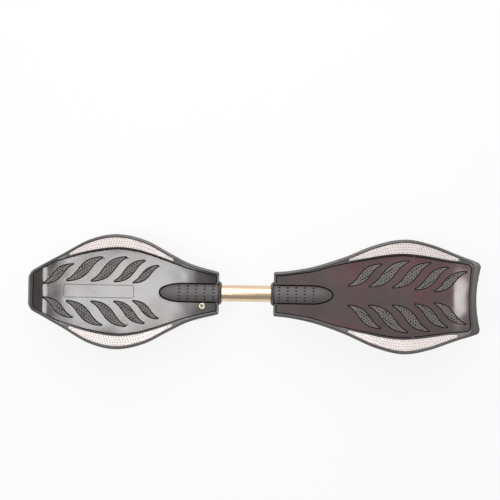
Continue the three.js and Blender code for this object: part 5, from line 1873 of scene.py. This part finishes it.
class TubeOperator(bpy.types.Operator):
    """Builds the gold torsion tube, its collars and the round plug"""
    bl_idname = "caster_board.tube"
    bl_label = "Tube, collars and plug"

    def execute(self, context):
        look = context.scene.caster_board_look
        tube_piece(tube_material(look))
        plug_piece(brass_materials(look))
        for name in FOOTPLATES:
            collar_piece(name, collar_material(look))
        return {"FINISHED"}


class ScrewOperator(bpy.types.Operator):
    """Builds the cross bolts, the stop bolt, the anchor bolt and the plate bolts"""
    bl_idname = "caster_board.screws"
    bl_label = "Screws and nuts"

    def execute(self, context):
        bright, dark = steel_material(), dark_steel_material()
        height = AXIS_HEIGHT - CLAMP_DROP
        for label, x in zip(("outer", "inner"), CLAMP_PLACES):
            add_bolt(f"cross_bolt_{label}", f"clamp_bolt_{label}", "front_board",
                     SCREW, CLAMP_LENGTH, "y", shift(x, CLAMP_HEAD, height), dark, 1.0, 0.3)
            add_nut(f"cross_nut_{label}", f"clamp_nut_{label}", "front_board",
                    SCREW, "y", shift(x, -CLAMP_HEAD, height) @ UPSIDE_DOWN, bright)
        for node, x, top in (("stop_bolt", STOP_PLACE, STOP_TOP),
                             ("anchor_bolt", ANCHOR_BOLT_PLACE, ANCHOR_TOP)):
            add_bolt(f"underside_{node}", node, "rear_board", SCREW,
                     top - BARREL_BOTTOM, "z", shift(x, 0, BARREL_BOTTOM) @ UPSIDE_DOWN, dark,
                     1.0, 0.7)
        for name in FOOTPLATES:
            for number, (x, y) in enumerate(PLATE_BOLTS, 1):
                matrix = caster_matrix(name) @ shift(x, y) @ UPSIDE_DOWN
                add_bolt(f"{name}_mount_bolt_{number}", f"{name}_plate_bolt_{number}",
                         f"{name}_board", SCREW, PLATE_BOLT_REACH, "z", matrix,
                         bright, 1.0, 0.7)
        return {"FINISHED"}


class CasterOperator(bpy.types.Operator):
    """Builds both casters: plates, swivel bearings, forks, axles, bearings and wheels"""
    bl_idname = "caster_board.casters"
    bl_label = "Casters"

    def execute(self, context):
        bright, dark = steel_material(), dark_steel_material()
        tyre = tyre_material(context.scene.caster_board_look)
        nylon, seal = nylon_material(), seal_material()
        for name in FOOTPLATES:
            caster_plate_piece(name, bright)
            fork_piece(name, bright)
            swivel_pieces(name, bright, dark)
            wheel_pieces(name, bright, nylon, tyre, seal)
        return {"FINISHED"}


class HiddenPartsOperator(bpy.types.Operator):
    """Builds the torsion bar and gives the parts inside the tube and the hubs their finishes"""
    bl_idname = "caster_board.inner_parts"
    bl_label = "Inner parts"

    def execute(self, context):
        torsion_bar_piece(spring_steel_material())
        nylon, bright = nylon_material(), steel_material()
        finishes = {"bar_anchor": dark_steel_material(), "tube_plug": seal_material(),
                    "tube_bush_outer": nylon, "tube_bush_inner": nylon,
                    "front_axle_spacer": bright, "rear_axle_spacer": bright}
        for node, material in finishes.items():
            piece = bpy.data.objects[node]
            for slot in piece.material_slots:
                slot.material = material
        return {"FINISHED"}


class StageOperator(bpy.types.Operator):
    """Sets the pale floor, the two softboxes, the even background light and the camera"""
    bl_idname = "caster_board.stage"
    bl_label = "Stage"

    def execute(self, context):
        stage = context.scene.caster_board_stage
        context.scene.view_settings.view_transform = "Standard"
        half = stage.floor_size / 2
        mesh = bpy.data.meshes.new("stage_floor")
        corners = [(-half, -half, 0), (half, -half, 0), (half, half, 0), (-half, half, 0)]
        mesh.from_pydata(corners, [], [(0, 1, 2, 3)])
        floor = bpy.data.objects.new("stage_floor", mesh)
        context.scene.collection.objects.link(floor)
        mesh.materials.append(floor_material(stage))

        for name, place, size, power in (("softbox", SOFTBOX_PLACE, SOFTBOX_SIZE, stage.lamp_power),
                                         ("side_softbox", SIDE_BOX_PLACE, SIDE_BOX_SIZE,
                                          stage.side_power)):
            data = bpy.data.lights.new(name, "AREA")
            data.shape, data.size, data.size_y, data.energy = "RECTANGLE", size[0], size[1], power
            lamp = bpy.data.objects.new(name, data)
            lamp.location = place
            if name == "side_softbox":
                aim = Vector((place[0], 0.0, 0.0)) - Vector(place)
                lamp.rotation_euler = aim.to_track_quat("-Z", "Y").to_euler()
            lamp.visible_camera = False
            context.scene.collection.objects.link(lamp)

        world = context.scene.world or bpy.data.worlds.new("Studio")
        context.scene.world = world
        world.use_nodes = True
        tree = world.node_tree
        tree.nodes.clear()
        path = add_node(tree, "ShaderNodeLightPath").outputs
        place = add_node(tree, "ShaderNodeTexCoord").outputs["Generated"]
        aim = add_node(tree, "ShaderNodeSeparateXYZ", {0: place}).outputs
        even = remap(tree, aim["Y"], -0.8, 0.8, stage.near_strength, stage.far_strength)
        mirrored = math_node(tree, "MAXIMUM", path["Is Glossy Ray"], path["Is Transmission Ray"])
        low = remap(tree, aim["Z"], 0.1, 0.3, 1.0, 0.0)
        seen = math_node(tree, "MAXIMUM", path["Is Camera Ray"], times(tree, mirrored, low))
        strength = math_node(tree, "MAXIMUM", seen, even)
        background = add_node(tree, "ShaderNodeBackground",
                              {"Color": (1.0, 1.0, 1.0, 1.0), "Strength": strength})
        result = tree.nodes.new("ShaderNodeOutputWorld")
        tree.links.new(background.outputs[0], result.inputs["Surface"])

        data = bpy.data.cameras.new("photo_camera")
        data.lens, data.sensor_width = stage.camera_lens, 36.0
        camera = bpy.data.objects.new("photo_camera", data)
        camera.location = (CAMERA_PLACE[0], CAMERA_PLACE[1], stage.camera_height)
        camera.rotation_euler = (0.0, 0.0, math.radians(CAMERA_TURN))
        context.scene.collection.objects.link(camera)
        context.scene.camera = camera
        return {"FINISHED"}


def floor_material(stage):
    """A pale floor that takes the object's shadow, and that the camera sees through from below."""
    material = bpy.data.materials.new("Pale stage floor")
    material.use_nodes = True
    tree = material.node_tree
    tree.nodes.clear()
    shade = stage.floor_shade
    path = add_node(tree, "ShaderNodeLightPath").outputs
    seen = math_node(tree, "MAXIMUM", path["Is Camera Ray"],
                     math_node(tree, "MAXIMUM", path["Is Glossy Ray"], path["Is Transmission Ray"]))
    place = place_of(tree)
    noise = noise_at(tree, place, 3.0, 3.0)
    colour = blend(tree, noise.outputs["Fac"], (shade, shade, shade, 1.0),
                   (shade * 1.03, shade * 1.03, shade * 1.03, 1.0))
    matte = add_node(tree, "ShaderNodeBsdfDiffuse", {"Color": colour})
    white = add_node(tree, "ShaderNodeEmission", {"Color": (1.0, 1.0, 1.0, 1.0), "Strength": 1.0})
    share = times(tree, seen, FLOOR_WHITE_SHARE)
    mixed = add_node(tree, "ShaderNodeMixShader",
                     {0: share, 1: matte.outputs[0], 2: white.outputs[0]})
    clear = add_node(tree, "ShaderNodeBsdfTransparent")
    under = add_node(tree, "ShaderNodeNewGeometry").outputs["Backfacing"]
    below = times(tree, under, path["Is Camera Ray"])
    whole = add_node(tree, "ShaderNodeMixShader",
                     {0: below, 1: mixed.outputs[0], 2: clear.outputs[0]})
    result = tree.nodes.new("ShaderNodeOutputMaterial")
    tree.links.new(whole.outputs[0], result.inputs["Surface"])
    return material


class CasterBoardPanel(bpy.types.Panel):
    """Lists the settings and the steps that build the board"""
    bl_idname = "VIEW3D_PT_caster_board"
    bl_label = "Caster board"
    bl_space_type = "VIEW_3D"
    bl_region_type = "UI"
    bl_category = "Caster board"

    def draw(self, context):
        layout = self.layout
        for operator in STEPS:
            layout.operator(operator.bl_idname)
        for group in (context.scene.caster_board_sizes, context.scene.caster_board_look,
                      context.scene.caster_board_stage):
            box = layout.box()
            for key in group.__annotations__:
                box.prop(group, key)


GROUPS = {"caster_board_sizes": CasterBoardSizes, "caster_board_look": CasterBoardLook,
          "caster_board_stage": CasterBoardStage}
STEPS = (FootplateOperator, GripOperator, TubeOperator, ScrewOperator, CasterOperator,
         HiddenPartsOperator, StageOperator)


def register():
    for item in (*GROUPS.values(), *STEPS, CasterBoardPanel):
        bpy.utils.register_class(item)
    for name, group in GROUPS.items():
        setattr(bpy.types.Scene, name, bpy.props.PointerProperty(type=group))


def unregister():
    for name in GROUPS:
        delattr(bpy.types.Scene, name)
    for item in (*GROUPS.values(), *STEPS, CasterBoardPanel):
        bpy.utils.unregister_class(item)


def main():
    """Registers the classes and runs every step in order."""
    register()
    bpy.ops.caster_board.footplates()
    bpy.ops.caster_board.side_grips()
    bpy.ops.caster_board.tube()
    bpy.ops.caster_board.screws()
    bpy.ops.caster_board.casters()
    bpy.ops.caster_board.inner_parts()
    bpy.ops.caster_board.stage()


if __name__ == "__main__":
    main()
